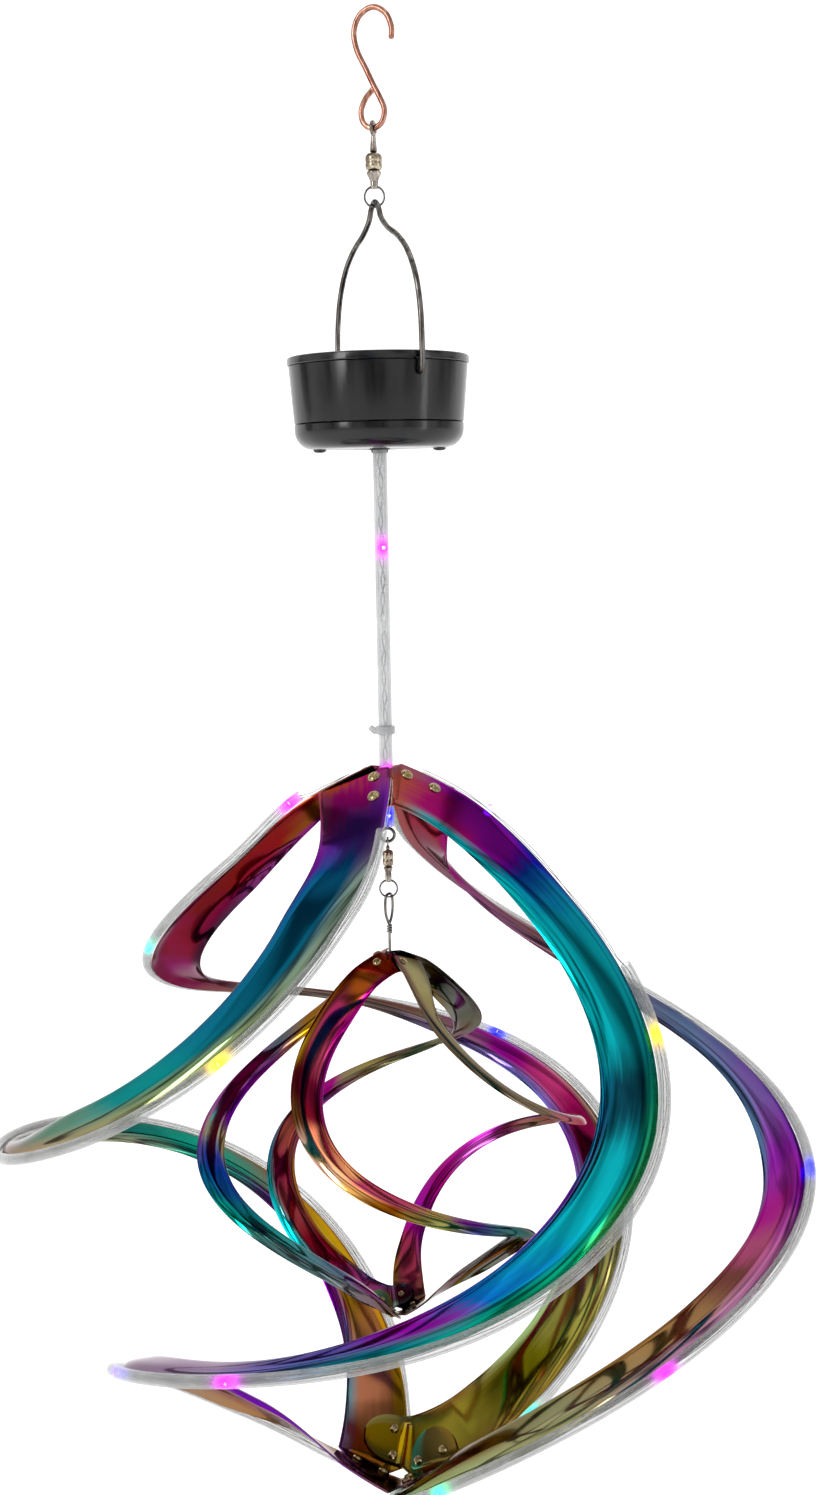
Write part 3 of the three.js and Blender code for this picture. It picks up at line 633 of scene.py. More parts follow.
# Each film is what the coat looks like along a blade, from its upper hub to its lower hub: in the middle of its
# web, along its outer edge and along its inner edge. Places run from 0 to 1. These colours are not a design of
# their own: they were typed from pixel averages of the photograph that a program printed for stations along each
# blade, so they hold its reflections too. This is an open fault, to be redone before reuse.
FILM_AND_REFLECTION_COLOURS = {
    "outer_blade_a": dict(
        web=[(0.0, "a0583e"), (0.03, "8c346a"), (0.06, "563a80"), (0.1, "0c5c80"), (0.2, "056880"),
             (0.27, "2a8080"), (0.34, "6c8c7c"), (0.45, "8a8884"), (0.56, "606a6c"), (0.62, "145c58"),
             (0.70, "0c8a76"), (0.77, "6a5a50"), (0.84, "a8861f"), (0.93, "a5705a"), (1.0, "5c3c1a")],
        outer=[(0.0, "8c4a66"), (0.06, "6a3c8c"), (0.12, "7d9182"), (0.25, "8c9a6a"), (0.36, "9a8c74"),
               (0.5, "8c8684"), (0.6, "a0643c"), (0.67, "5c3060"), (0.76, "a87a3c"), (0.9, "b08436"),
               (1.0, "6e5a20")],
        inner=[(0.0, "98525a"), (0.07, "6c3a80"), (0.14, "286090"), (0.22, "0a6c82"), (0.32, "5c8a80"),
               (0.5, "8a8886"), (0.6, "8c9078"), (0.7, "30907c"), (0.78, "702a86"), (0.86, "7a2a92"),
               (0.93, "5e8086"), (1.0, "6a4070")],
    ),
    "outer_blade_b": dict(
        web=[(0.0, "96584c"), (0.04, "8a3462"), (0.075, "7c1a8a"), (0.11, "10488e"), (0.16, "048c96"),
             (0.22, "058a92"), (0.27, "02303e"), (0.32, "048890"), (0.37, "0c94a0"), (0.43, "3a6aa8"),
             (0.47, "80388e"), (0.53, "5c5c92"), (0.6, "9c8ca0"), (0.7, "8c8090"), (0.8, "86787a"),
             (0.9, "946e64"), (1.0, "8a6a3a")],
        outer=[(0.0, "8c6454"), (0.06, "7a1c86"), (0.12, "063c82"), (0.2, "04707e"), (0.3, "3c8c66"),
               (0.37, "4a9c60"), (0.42, "24a87c"), (0.5, "0a8a8c"), (0.56, "605c96"), (0.62, "86788c"),
               (0.8, "8c8480"), (0.9, "9c7c60"), (1.0, "7c6038")],
        inner=[(0.0, "98564c"), (0.05, "2a98a0"), (0.12, "10b0b4"), (0.22, "12a2a8"), (0.29, "4a7a9c"),
               (0.34, "643c86"), (0.4, "6c46a8"), (0.46, "9c7040"), (0.54, "80889a"), (0.62, "94808e"),
               (0.75, "8a7c8c"), (0.85, "70389c"), (1.0, "7a5c60")],
    ),
    "outer_blade_c": dict(
        web=[(0.0, "a07068"), (0.05, "7c5a24"), (0.09, "7c3440"), (0.15, "6c1434"), (0.22, "78103c"),
             (0.28, "7c3c60"), (0.34, "744c58"), (0.42, "54403a"), (0.52, "64544c"), (0.58, "7a2474"),
             (0.64, "a84c70"), (0.7, "640a30"), (0.76, "4a3c5c"), (0.83, "a09c5c"), (0.89, "5e5a1a"),
             (0.95, "8c8040"), (1.0, "8c7430")],
        outer=[(0.0, "8c4a6a"), (0.07, "84303c"), (0.14, "501030"), (0.24, "6a3c4c"), (0.34, "6c3c4c"),
               (0.46, "7c6a4c"), (0.58, "a284b8"), (0.66, "a0887c"), (0.76, "8a8868"), (0.86, "a49c58"),
               (0.93, "987c48"), (1.0, "60582c")],
        inner=[(0.0, "763e44"), (0.06, "7a3c74"), (0.16, "3c2434"), (0.3, "4a3a40"), (0.45, "7a6c64"),
               (0.55, "746ca0"), (0.62, "7c7cc0"), (0.7, "844ea0"), (0.78, "4a8c7c"), (0.86, "94ae80"),
               (0.94, "7c6038"), (1.0, "a09864")],
    ),
    "outer_blade_d": dict(
        web=[(0.0, "946842"), (0.06, "985056"), (0.13, "7c5c64"), (0.22, "6c5456"), (0.3, "604c50"),
             (0.38, "5c6c84"), (0.45, "6c5a8c"), (0.52, "7c3a8c"), (0.57, "903c76"), (0.61, "905068"),
             (0.65, "603c38"), (0.7, "8c7050"), (0.78, "7c7c60"), (0.87, "74664a"), (0.94, "806a3c"),
             (1.0, "5c5030")],
        outer=[(0.0, "8c3c62"), (0.1, "8c5c5c"), (0.22, "705a64"), (0.38, "5c6490"), (0.5, "6c4c92"),
               (0.56, "8c3c9c"), (0.62, "a0648c"), (0.7, "a88098"), (0.78, "98946e"), (0.88, "8c9870"),
               (1.0, "5c9c80")],
        inner=[(0.0, "a07e74"), (0.07, "8a206c"), (0.16, "7c5470"), (0.28, "5c464a"), (0.4, "50607e"),
               (0.5, "4e6c86"), (0.58, "72607a"), (0.64, "6c4c42"), (0.75, "8c8a74"), (0.86, "8c7040"),
               (1.0, "80683c")],
    ),
    "inner_blade_a": dict(
        web=[(0.0, "a0928a"), (0.1, "84705a"), (0.2, "80613a"), (0.27, "4c5860"), (0.32, "8c5c86"),
             (0.4, "7c4c80"), (0.46, "8c8870"), (0.5, "3c4488"), (0.56, "083c70"), (0.62, "0c5c66"),
             (0.68, "3c7c78"), (0.76, "5c6c78"), (0.84, "7c4078"), (0.92, "584c52"), (1.0, "48604c")],
        outer=[(0.0, "8c7c74"), (0.2, "5c4440"), (0.35, "8c6c80"), (0.45, "701c62"), (0.54, "106088"),
               (0.6, "089484"), (0.7, "506c6c"), (0.85, "6c5c60"), (1.0, "7a6c40")],
        inner=[(0.0, "a49a82"), (0.2, "b0863a"), (0.3, "6c2470"), (0.4, "6a1494"), (0.47, "786a48"),
               (0.55, "10648c"), (0.66, "2aa8a4"), (0.76, "6c2c70"), (0.88, "5c484c"), (1.0, "4c6444")],
    ),
    "inner_blade_b": dict(
        web=[(0.0, "8c4c3c"), (0.06, "98583c"), (0.11, "a44868"), (0.17, "a05060"), (0.22, "500a20"),
             (0.27, "5c2028"), (0.32, "ec9a80"), (0.36, "f0b088"), (0.4, "b85c70"), (0.45, "9c5264"),
             (0.5, "8c7e56"), (0.55, "621e76"), (0.6, "0c606e"), (0.66, "4a6456"), (0.75, "6c6c68"),
             (0.85, "805c68"), (1.0, "545c44")],
        outer=[(0.0, "806868"), (0.06, "5c1410"), (0.12, "8c5a20"), (0.17, "a47e24"), (0.22, "48181c"),
               (0.28, "6c4a30"), (0.34, "f0c8b4"), (0.4, "f4be80"), (0.45, "7a4012"), (0.5, "a09a60"),
               (0.56, "3c4068"), (0.62, "406460"), (0.75, "707070"), (1.0, "5a5c4c")],
        inner=[(0.0, "632b20"), (0.07, "90246c"), (0.14, "7c0670"), (0.24, "7c1262"), (0.4, "700668"),
               (0.47, "681260"), (0.52, "767058"), (0.57, "5e1e62"), (0.63, "1a5464"), (0.75, "5c6460"),
               (1.0, "6c5c58")],
    ),
    "inner_blade_c": dict(
        web=[(0.0, "46283c"), (0.05, "585844"), (0.1, "1e221e"), (0.16, "60645e"), (0.23, "66685e"),
             (0.28, "4c3c1c"), (0.32, "8c876e"), (0.37, "2a3428"), (0.42, "4c4238"), (0.47, "847a54"),
             (0.52, "7c7258"), (0.56, "8c2470"), (0.61, "2e060c"), (0.66, "884c44"), (0.72, "742a44"),
             (0.8, "8a4648"), (0.88, "6c1e2a"), (0.94, "8c4670"), (1.0, "2c2824")],
        outer=[(0.0, "16141a"), (0.07, "2a2c24"), (0.14, "404040"), (0.24, "6c6e64"), (0.34, "705c66"),
               (0.38, "22341f"), (0.46, "887c50"), (0.54, "801f68"), (0.6, "340412"), (0.68, "125a70"),
               (0.76, "0a8282"), (0.83, "0ed0d4"), (0.9, "3c5870"), (1.0, "546460")],
        inner=[(0.0, "431546"), (0.08, "56421e"), (0.2, "80837c"), (0.3, "646254"), (0.38, "364430"),
               (0.47, "847a5c"), (0.56, "7c447a"), (0.62, "90446c"), (0.72, "86603c"), (0.8, "7c5a34"),
               (0.88, "765e14"), (0.94, "40386c"), (1.0, "463c2c")],
    ),
    "inner_blade_d": dict(
        web=[(0.0, "181410"), (0.06, "8a8464"), (0.14, "847f68"), (0.24, "7a7c70"), (0.31, "736e54"),
             (0.37, "886674"), (0.43, "94504e"), (0.5, "a0606c"), (0.56, "7c5648"), (0.61, "906460"),
             (0.65, "470525"), (0.69, "ee7ae8"), (0.74, "a4428e"), (0.79, "8c2670"), (0.85, "8c1f8e"),
             (0.91, "9c485a"), (1.0, "4c4434")],
        outer=[(0.0, "4c2840"), (0.1, "6c5c4c"), (0.3, "706454"), (0.38, "9c666c"), (0.46, "a85a5c"),
               (0.54, "94676e"), (0.6, "726038"), (0.66, "bc6898"), (0.72, "8c2a84"), (0.8, "742060"),
               (0.87, "7c1478"), (0.94, "845a36"), (1.0, "4c5040")],
        inner=[(0.0, "504c48"), (0.1, "7e7c68"), (0.3, "746f50"), (0.4, "806470"), (0.5, "785a54"),
               (0.58, "705e52"), (0.64, "6c3652"), (0.7, "ee88ee"), (0.78, "a4407e"), (0.86, "7e2c7c"),
               (0.94, "7a4844"), (1.0, "50483c")],
    ),
}


def rainbow_metal_with_painted_reflections(name, film_and_reflections, seed):
    """Polished steel under an interference coat whose colour wanders along and across the blade; its colour ramps
    also hold painted reflections and highlights.
    """
    n = Nodes(name)
    coords = n.add("ShaderNodeTexCoord")
    split = n.add("ShaderNodeSeparateXYZ")
    n.link(coords.outputs["UV"], split.inputs[0])
    along, both = split.outputs["X"], split.outputs["Y"]
    across = n.math("PINGPONG", both, 1.0)
    cloud = n.noise(n.stretched(coords.outputs["Object"], (1, 1, 1)), 34 + seed, 2)
    streaks = n.noise(n.stretched(coords.outputs["UV"], (9, 14, 1)), 1, 3, 0.6)
    # the colour bands lie slantwise on the web, and their borders are soft and uneven
    slant = n.spread(across, 0, 1, 0.012, -0.012)
    wander = n.math("ADD", n.spread(cloud, 0.3, 0.7, -0.012, 0.012), n.spread(streaks, 0.3, 0.7, -0.008, 0.008))
    phase = n.math("ADD", n.math("ADD", along, slant), wander)
    # painted reflections: the three ramps give the coat's colours together with the reflections and highlights
    # seen in it
    web = n.ramp(phase, film_and_reflections["web"])
    outer = n.ramp(phase, film_and_reflections["outer"])
    inner = n.ramp(phase, film_and_reflections["inner"])
    lip = n.math("ADD", across, n.spread(streaks, 0.3, 0.7, -0.04, 0.04))
    colour = n.mix(n.spread(lip, 0.1, 0.3, 1, 0), web, outer)
    colour = n.mix(n.spread(lip, 0.78, 0.95, 0, 1), colour, inner)
    deep = n.add("ShaderNodeHueSaturation")
    deep.inputs["Saturation"].default_value = 1.15
    n.link(colour, deep.inputs["Color"])
    n.link(deep.outputs["Color"], n.shader.inputs["Base Color"])
    soft_edge = n.mix(n.spread(cloud, 0.3, 0.7, 0.3, 0.5), deep.outputs["Color"], linear("f0e4e8"))
    n.link(soft_edge, n.shader.inputs["Specular Tint"])
    rub = n.noise(n.stretched(coords.outputs["UV"], (60, 400, 1)), 1, 2)
    n.link(n.spread(rub, 0.3, 0.7, 0.07, 0.13), n.shader.inputs["Roughness"])
    n.bump(n.noise(coords.outputs["Object"], 26, 1), 0.5, 0.0006)
    n.set(metallic=1.0, coat_weight=0.05, coat_roughness=0.06)
    return n.material


def clear_plastic(name, dark, light, middle, rim, rough=0.12, glow=False):
    """Clear, slightly milky plastic, denser to the eye where it is seen edge on."""
    n = Nodes(name)
    where = n.where()
    facing = n.add("ShaderNodeLayerWeight")
    facing.inputs["Blend"].default_value = 0.45
    haze = n.noise(where, 60, 2)
    colour = n.mix(n.spread(haze, 0.35, 0.65, 0, 1), linear(dark), linear(light))
    density = n.spread(facing.outputs["Facing"], 0.1, 0.9, middle, rim)
    density = n.math("ADD", density, n.spread(haze, 0.3, 0.7, -0.05, 0.05))
    n.link(n.spread(haze, 0.3, 0.7, rough, rough * 2), n.shader.inputs["Roughness"])
    n.bump(haze, 0.3, 0.0004)
    n.set(coat_weight=0.2, coat_roughness=0.05)
    if glow:
        # painted glow of the lights: the glow layer tints the tube, makes it denser and gives it emission, white
        # at the brightest point
        painted_glow = n.add("ShaderNodeVertexColor", layer_name="glow")
        colour = n.mix(painted_glow.outputs["Alpha"], colour, painted_glow.outputs["Color"])
        density = n.math("MAXIMUM", density, painted_glow.outputs["Alpha"])
        whiteness = n.spread(painted_glow.outputs["Alpha"], 0.975, 1.0, 0, 0.9)
        core = n.mix(whiteness, painted_glow.outputs["Color"], linear("ffffff"))
        n.link(core, n.shader.inputs["Emission Color"])
        n.link(n.math("MULTIPLY", painted_glow.outputs["Alpha"], 1.5), n.shader.inputs["Emission Strength"])
    n.link(colour, n.shader.inputs["Base Color"])
    n.link(density, n.shader.inputs["Alpha"])
    return n.material


def lit_bead(name, colour, strength=4.5):
    """A lit diode: a saturated body, brighter in soft patches."""
    n = Nodes(name)
    where = n.where()
    n.link(n.mix(n.spread(n.noise(where, 500, 2), 0.45, 0.6, 0.0, 0.35), linear(colour), linear("ffffff")),
           n.shader.inputs["Emission Color"])
    n.shader.inputs["Base Color"].default_value = linear(colour)
    n.shader.inputs["Emission Strength"].default_value = strength
    n.set(roughness=0.3)
    return n.material


def cup_plastic():
    """Glossy black plastic with fine vertical draw marks and dust-soft patches."""
    n = Nodes("cup_black_gloss")
    where = n.where()
    marks = n.noise(n.stretched(where, (420, 420, 14)), 1, 3, 0.6)
    cloud = n.noise(where, 45, 3)
    n.link(n.mix(n.spread(cloud, 0.35, 0.65, 0, 1), linear("060607"), linear("121214")),
           n.shader.inputs["Base Color"])
    n.link(n.spread(marks, 0.3, 0.7, 0.12, 0.24), n.shader.inputs["Roughness"])
    n.bump(marks, 0.3, 0.00012)
    n.set(specular_ior_level=0.45)
    return n.material


def solar_cells():
    """Dark blue cells with fine silver fingers and two bus bars, under clear resin."""
    n = Nodes("solar_cells_resin")
    where = n.where()
    split = n.add("ShaderNodeSeparateXYZ")
    n.link(where, split.inputs[0])
    x = n.math("MULTIPLY", split.outputs["X"], 1000)
    y = n.math("ADD", n.math("MULTIPLY", split.outputs["Y"], 1000), 11)
    fingers = n.math("LESS_THAN", n.math("PINGPONG", x, 1.0), 0.09)
    bars = n.math("LESS_THAN", n.math("PINGPONG", y, 11.0), 0.5)
    gaps = n.math("LESS_THAN", n.math("PINGPONG", x, 11.0), 0.35)
    silicon = n.mix(n.spread(n.noise(where, 130, 4), 0.35, 0.65, 0, 1), linear("0a1230"), linear("1c2c60"))
    colour = n.mix(n.math("MAXIMUM", fingers, bars), silicon, linear("8c94a4"))
    n.link(n.mix(gaps, colour, linear("05070c")), n.shader.inputs["Base Color"])
    n.link(n.spread(n.noise(where, 40, 2), 0.3, 0.7, 0.08, 0.2), n.shader.inputs["Roughness"])
    n.set(coat_weight=0.8, coat_roughness=0.04)
    return n.material


COPPER = drawn_metal("copper_wire", "cc9c8a", "96604c", (0.12, 0.22), stain="784838")
NICKEL = drawn_metal("nickel_plate", "c0b8ae", "746a60", (0.1, 0.2), stain="4c3c34")
BARREL = drawn_metal("swivel_nickel", "c8bca6", "84745e", (0.1, 0.2), stain="4c382a")
RING_STEEL = drawn_metal("ring_steel", "8c8884", "403c3a", (0.12, 0.22))
BAIL_STEEL = drawn_metal("bail_steel", "8c8884", "3c3836", (0.08, 0.18), stain="4c443e")
WIRE_STEEL = drawn_metal("wire_steel", "8c8884", "444040", (0.14, 0.28), stain="4c4440")
RIVET_METAL = drawn_metal("rivet_metal", "c8b488", "7c6844", (0.14, 0.26), stain="6c6458")
SCREW_METAL = drawn_metal("screw_black", "4c4c4e", "242426", (0.2, 0.34))
CONTACT = drawn_metal("contact_nickel", "d8d4c8", "a49c8c", (0.2, 0.32))
CUP_BLACK = cup_plastic()
SOLAR = solar_cells()
GLAND = surface("gland_rubber", "1a1a1a", "0c0c0c", 0.0, (0.5, 0.7), grain=1400)
SWITCH = surface("switch_plastic", "1c1c1e", "0e0e10", 0.0, (0.4, 0.55), grain=1600)
BOARD = surface("board_mask", "1f6a3c", "134a2a", 0.0, (0.3, 0.45))
CELL_WRAP = surface("cell_wrap", "2f8a50", "1d6438", 0.0, (0.25, 0.4))
CAP_BLACK = surface("cap_black", "2c2a2a", "141414", 0.0, (0.35, 0.5), grain=1500)
RISER_CLEAR = clear_plastic("riser_clear", "b4b6b8", "d2d4d4", 0.32, 0.85, glow=True)
TUBE_CLEAR = clear_plastic("light_tube_clear", "969896", "b4b6b4", 0.16, 0.75, glow=True)
TIE_CLEAR = clear_plastic("tie_clear", "909294", "c4c6c8", 0.6, 0.95, rough=0.2)
STRING_WIRE = drawn_metal("string_wire", "c4c2be", "84827e", (0.2, 0.32))

LED_COLOURS = {
    "magenta": "f020f8", "violet": "6a50ff", "blue": "1418ff", "cyan": "18ffe0", "green": "20ffb0",
    "yellow": "ffd820", "orange": "ffb020",
}
LED_LOOKS = {word: lit_bead(f"led_{word}", colour) for word, colour in LED_COLOURS.items()}

# ---- Stage, camera and lights ----


def make_camera():
    data = bpy.data.cameras.new("camera")
    data.sensor_width = 36
    data.lens = CAMERA_LENS
    data.shift_x = CAMERA_SHIFT
    camera = bpy.data.objects.new("camera", data)
    bpy.context.collection.objects.link(camera)
    tilt = Matrix.Rotation(math.radians(90) + CAMERA_PITCH, 4, "X")
    roll = Matrix.Rotation(CAMERA_ROLL, 4, "Z")
    camera.matrix_world = Matrix.Translation(place((0, -CAMERA_DISTANCE, CAMERA_HEIGHT))) @ tilt @ roll
    bpy.context.scene.camera = camera


def make_floor():
    """A pale floor that curves up into a wall far behind the object."""
    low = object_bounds()[0].z - 0.06
    profile = [(-4.0, 0), (1.6, 0)]
    curve = [k * math.pi / 24 for k in range(1, 13)]
    profile += [(1.6 + 1.2 * math.sin(a), 1.2 - 1.2 * math.cos(a)) for a in curve]
    profile.append((2.8, 4.0))
    points = [(x, y, low + z) for y, z in profile for x in (-5, 5)]
    faces = [(2 * i, 2 * i + 1, 2 * i + 3, 2 * i + 2) for i in range(len(profile) - 1)]
    mesh = bpy.data.meshes.new("floor")
    mesh.from_pydata(points, [], faces)
    mesh.polygons.foreach_set("use_smooth", [True] * len(mesh.polygons))
    n = Nodes("floor_white")
    where = n.where()
    n.link(n.mix(n.noise(where, 3, 2), linear("f7f7f7"), linear("fdfdfd")), n.shader.inputs["Base Color"])
    n.set(roughness=0.9, emission_color=linear("ffffff"), emission_strength=0.42)
    mesh.materials.append(n.material)
    floor = bpy.data.objects.new("floor", mesh)
    bpy.context.collection.objects.link(floor)


def area_light(name, spot, aim, size, power):
    data = bpy.data.lights.new(name, "AREA")
    data.shape = "RECTANGLE"
    data.size, data.size_y = size
    data.energy = power
    light = bpy.data.objects.new(name, data)
    bpy.context.collection.objects.link(light)
    light.location = spot
    light.rotation_euler = (Vector(aim) - Vector(spot)).to_track_quat("-Z", "Y").to_euler()


def make_lights():
    middle = place((0, 0, 0))
    area_light("key_left", (-1.3, -1.2, 0.35), middle, (0.45, 1.2), 11)
    area_light("fill_right", (1.5, -0.8, 0.0), middle, (0.2, 1.4), 2.5)
    area_light("top", (0.1, 0.2, 1.1), middle, (1.2, 1.2), 3)
    world = bpy.data.worlds.new("studio")
    world.use_nodes = True
    tree = world.node_tree
    back = tree.nodes["Background"]
    where = tree.nodes.new("ShaderNodeTexCoord")
    # a room of pale and dark areas, soft ones and a few narrow ones, for the metal to reflect
    areas = tree.nodes.new("ShaderNodeTexNoise")
    areas.inputs["Scale"].default_value = 2.6
    areas.inputs["Detail"].default_value = 2.5
    shade = tree.nodes.new("ShaderNodeValToRGB")
    stops = shade.color_ramp.elements
    stops[0].position, stops[0].color = 0.40, (0.16, 0.16, 0.17, 1)
    stops[1].position, stops[1].color = 0.56, (1.0, 1.0, 1.0, 1)
    tree.links.new(where.outputs["Generated"], areas.inputs["Vector"])
    tree.links.new(areas.outputs["Fac"], shade.inputs["Fac"])
    tree.links.new(shade.outputs["Color"], back.inputs["Color"])
    back.inputs["Strength"].default_value = 1.0
    bpy.context.scene.world = world
    bpy.context.scene.view_settings.view_transform = "Standard"


# ---- Hook, swivels, rings and bail ----


def make_hook():
    top = HANG_HEIGHT + HOOK_WIRE
    drops = [
        (8.3, 0, 12.6), (8.4, 0, 8), (5.9, 0, 2.6), (0.8, 0, 0), (-4.6, 0, 2.4), (-7.2, 0, 8), (-6.2, 0, 15),
        (-2.6, 0, 22.4), (0.6, 0, 29), (2.9, 0, 33.4), (4.9, 0, 38.4), (3.6, 0, 43.2), (0, 0, 45),
        (-3.8, 0.2, 43), (-5.2, 0.8, 38.2), (-3.8, 1.7, 33.6), (-1.6, 2.6, 30.6), (0.3, 2.75, 28.9),
    ]
    path = turned_about_z(smooth_path([(x, y, top - drop) for x, y, drop in drops], 10), HOOK_YAW)
    blunt = 0.012

    def radius(share):
        from_end = min(share, 1 - share)
        return HOOK_WIRE * (1 if from_end > blunt else 0.55 + 0.45 * math.sqrt(from_end / blunt))

    Shape().tube(path, radius, 20).make("hook_wire", COPPER, "hook", "hook_copper", ("hanging_hook",))


def make_swivel(name, size, bodies):
    """An eye and barrel on one body, and the lower shank with its drilled tip on the next."""
    pivot, wire, shank = size["pivot"], size["eye_wire"], size["shank_radius"]
    head, head_height, high, low = size["head"], size["head_height"], size["high"], size["low"]
    loop = turned_about_z(circle(size["eye_radius"], pivot, "YZ"), size["yaw"])
    shape = Shape().tube(loop, wire, 14, closed=True)
    foot = pivot - size["eye_radius"]
    collar = [
        (0, head_height - 0.9), (head, head_height - 0.9), (head, head_height), (shank, head_height),
        (shank, high + 0.4), (shank * 1.5, high + 0.7), (shank * 1.5, high + 1.3), (shank, foot - 0.4),
        (wire * 0.9, foot + 0.1), (0, foot + 0.2),
    ]
    shape.lathe(rounded(collar, 0.25), 32)
    shape.make(f"{name}_eye_loop", NICKEL, bodies[0], "nickel", (f"{name}_eye",))
    radius, mouth, middle = size["radius"], size["mouth"], (low + high) / 2
    wall = 0.28 * radius
    shell = [
        (mouth, low), (radius * 0.66, low), (radius * 0.86, low + radius * 0.14), (radius, low + radius * 0.4),
        (radius, middle - 0.5), (radius * 0.95, middle - 0.25), (radius * 0.95, middle + 0.25),
        (radius, middle + 0.5), (radius, high - radius * 0.4), (radius * 0.86, high - radius * 0.14),
        (radius * 0.66, high), (mouth, high), (mouth, high - wall), (radius - wall, high - wall),
        (radius - wall, low + wall), (mouth, low + wall),
    ]
    barrel = Shape().lathe(shell, 40, closed=True)
    barrel.make(f"{name}_barrel_shell", BARREL, bodies[0], "swivel_barrel", (f"{name}_barrel",))
    head_low, neck, shoulder = size["head_low"], size["neck"], size["shoulder"]
    tip, tip_radius = size["tip"], size["tip_radius"]
    stem = [
        (0, tip - tip_radius * 0.6), (tip_radius * 0.8, tip - tip_radius * 0.6), (tip_radius, tip),
        (tip_radius * 0.95, tip + tip_radius), (shoulder * 0.7, neck - 2.6), (shoulder, neck - 1.1),
        (shoulder, neck - 0.35), (head * 0.6, neck - 0.3), (head * 0.6, head_low), (head, head_low),
        (head, head_low + 0.9), (0, head_low + 0.9),
    ]
    turned = Shape().lathe(rounded(stem, 0.3), 36)
    piece = turned.make(f"{name}_shank_turned", NICKEL, bodies[1], "nickel", (f"{name}_shank",))
    bore(piece, size["hole"], 9, (0, 0, tip + 0.1))


def bore(piece, radius, reach, spot, azimuth=0):
    """Bores a level hole through a piece, and leaves the cutter out of the scene."""
    turn = Matrix.Rotation(math.radians(azimuth), 3, "Z") @ Matrix.Rotation(math.radians(90), 3, "Y")
    shape = Shape().lathe([(0, -reach), (radius, -reach), (radius, reach), (0, reach)], 24, turn, spot)
    mesh = bpy.data.meshes.new("cutter")
    mesh.from_pydata([place(p) for p in shape.points], [], shape.faces)
    cutter = bpy.data.objects.new("cutter", mesh)
    bpy.context.collection.objects.link(cutter)
    hole = piece.modifiers.new("hole", "BOOLEAN")
    hole.operation, hole.object, hole.solver = "DIFFERENCE", cutter, "EXACT"
    bpy.context.view_layer.update()
    result = bpy.data.meshes.new_from_object(piece.evaluated_get(bpy.context.evaluated_depsgraph_get()))
    piece.modifiers.clear()
    piece.data = result
    bpy.data.objects.remove(cutter)
    bpy.data.meshes.remove(mesh)


def make_split_ring(name, node, pivot, radius, wire, body):
    """A split ring: two turns of wire side by side, joined by a step."""
    path = []
    turns, steps = 1.92, 120
    for k in range(steps + 1):
        share = k / steps
        angle = -math.pi / 2 + 0.35 + share * turns * 2 * math.pi
        shift = wire * 0.82 * math.tanh((share - 0.5) * 9)
        path.append((radius * math.cos(angle), shift, pivot - radius + radius * math.sin(angle)))
    Shape().tube(path, wire * 0.8, 12).make(name, RING_STEEL, body, "ring_steel", (node,))


def make_bail():
    half = [
        (BAIL_SPREAD - 5.5, BAIL_HOLE_HEIGHT), (BAIL_SPREAD - 1.6, BAIL_HOLE_HEIGHT),
        (BAIL_SPREAD - 0.3, BAIL_HOLE_HEIGHT + 0.8), (BAIL_SPREAD, BAIL_HOLE_HEIGHT + 2.4), (BAIL_SPREAD, 338),
        (BAIL_SPREAD - 1, 350), (BAIL_SPREAD - 4.4, 362), (BAIL_SPREAD - 11, 372.2), (BAIL_SPREAD - 19, 378.6),
        (BAIL_SPREAD - 28, 383.2), (BAIL_SPREAD - 33.4, 387.6), (BAIL_SPREAD - 36, BAIL_TOP - 2),
    ]
    points = half + [(0, BAIL_TOP)] + [(-x, z) for x, z in reversed(half)]
    path = turned_about_z(smooth_path([(x, 0, z) for x, z in points], 9), BAIL_AZIMUTH)
    Shape().tube(path, HOOK_WIRE, 18).make("bail_wire", BAIL_STEEL, "wire_bail", "bail_steel", ("bail",))


def make_suspension():
    make_hook()
    make_swivel("top_swivel", TOP_SWIVEL, ("upper_swivel", "upper_swivel_shank"))
    make_split_ring("top_split_ring", "top_ring", TOP_RING_PIVOT, TOP_RING_RADIUS, TOP_RING_WIRE, "split_ring")
    make_bail()
    make_swivel("inner_swivel", INNER_SWIVEL, ("lower_swivel", "lower_swivel_shank"))
    make_split_ring("inner_split_ring", "inner_ring", INNER_RING_PIVOT, INNER_RING_RADIUS, INNER_RING_WIRE,
                    "lower_split_ring")


# ---- Solar cup ----


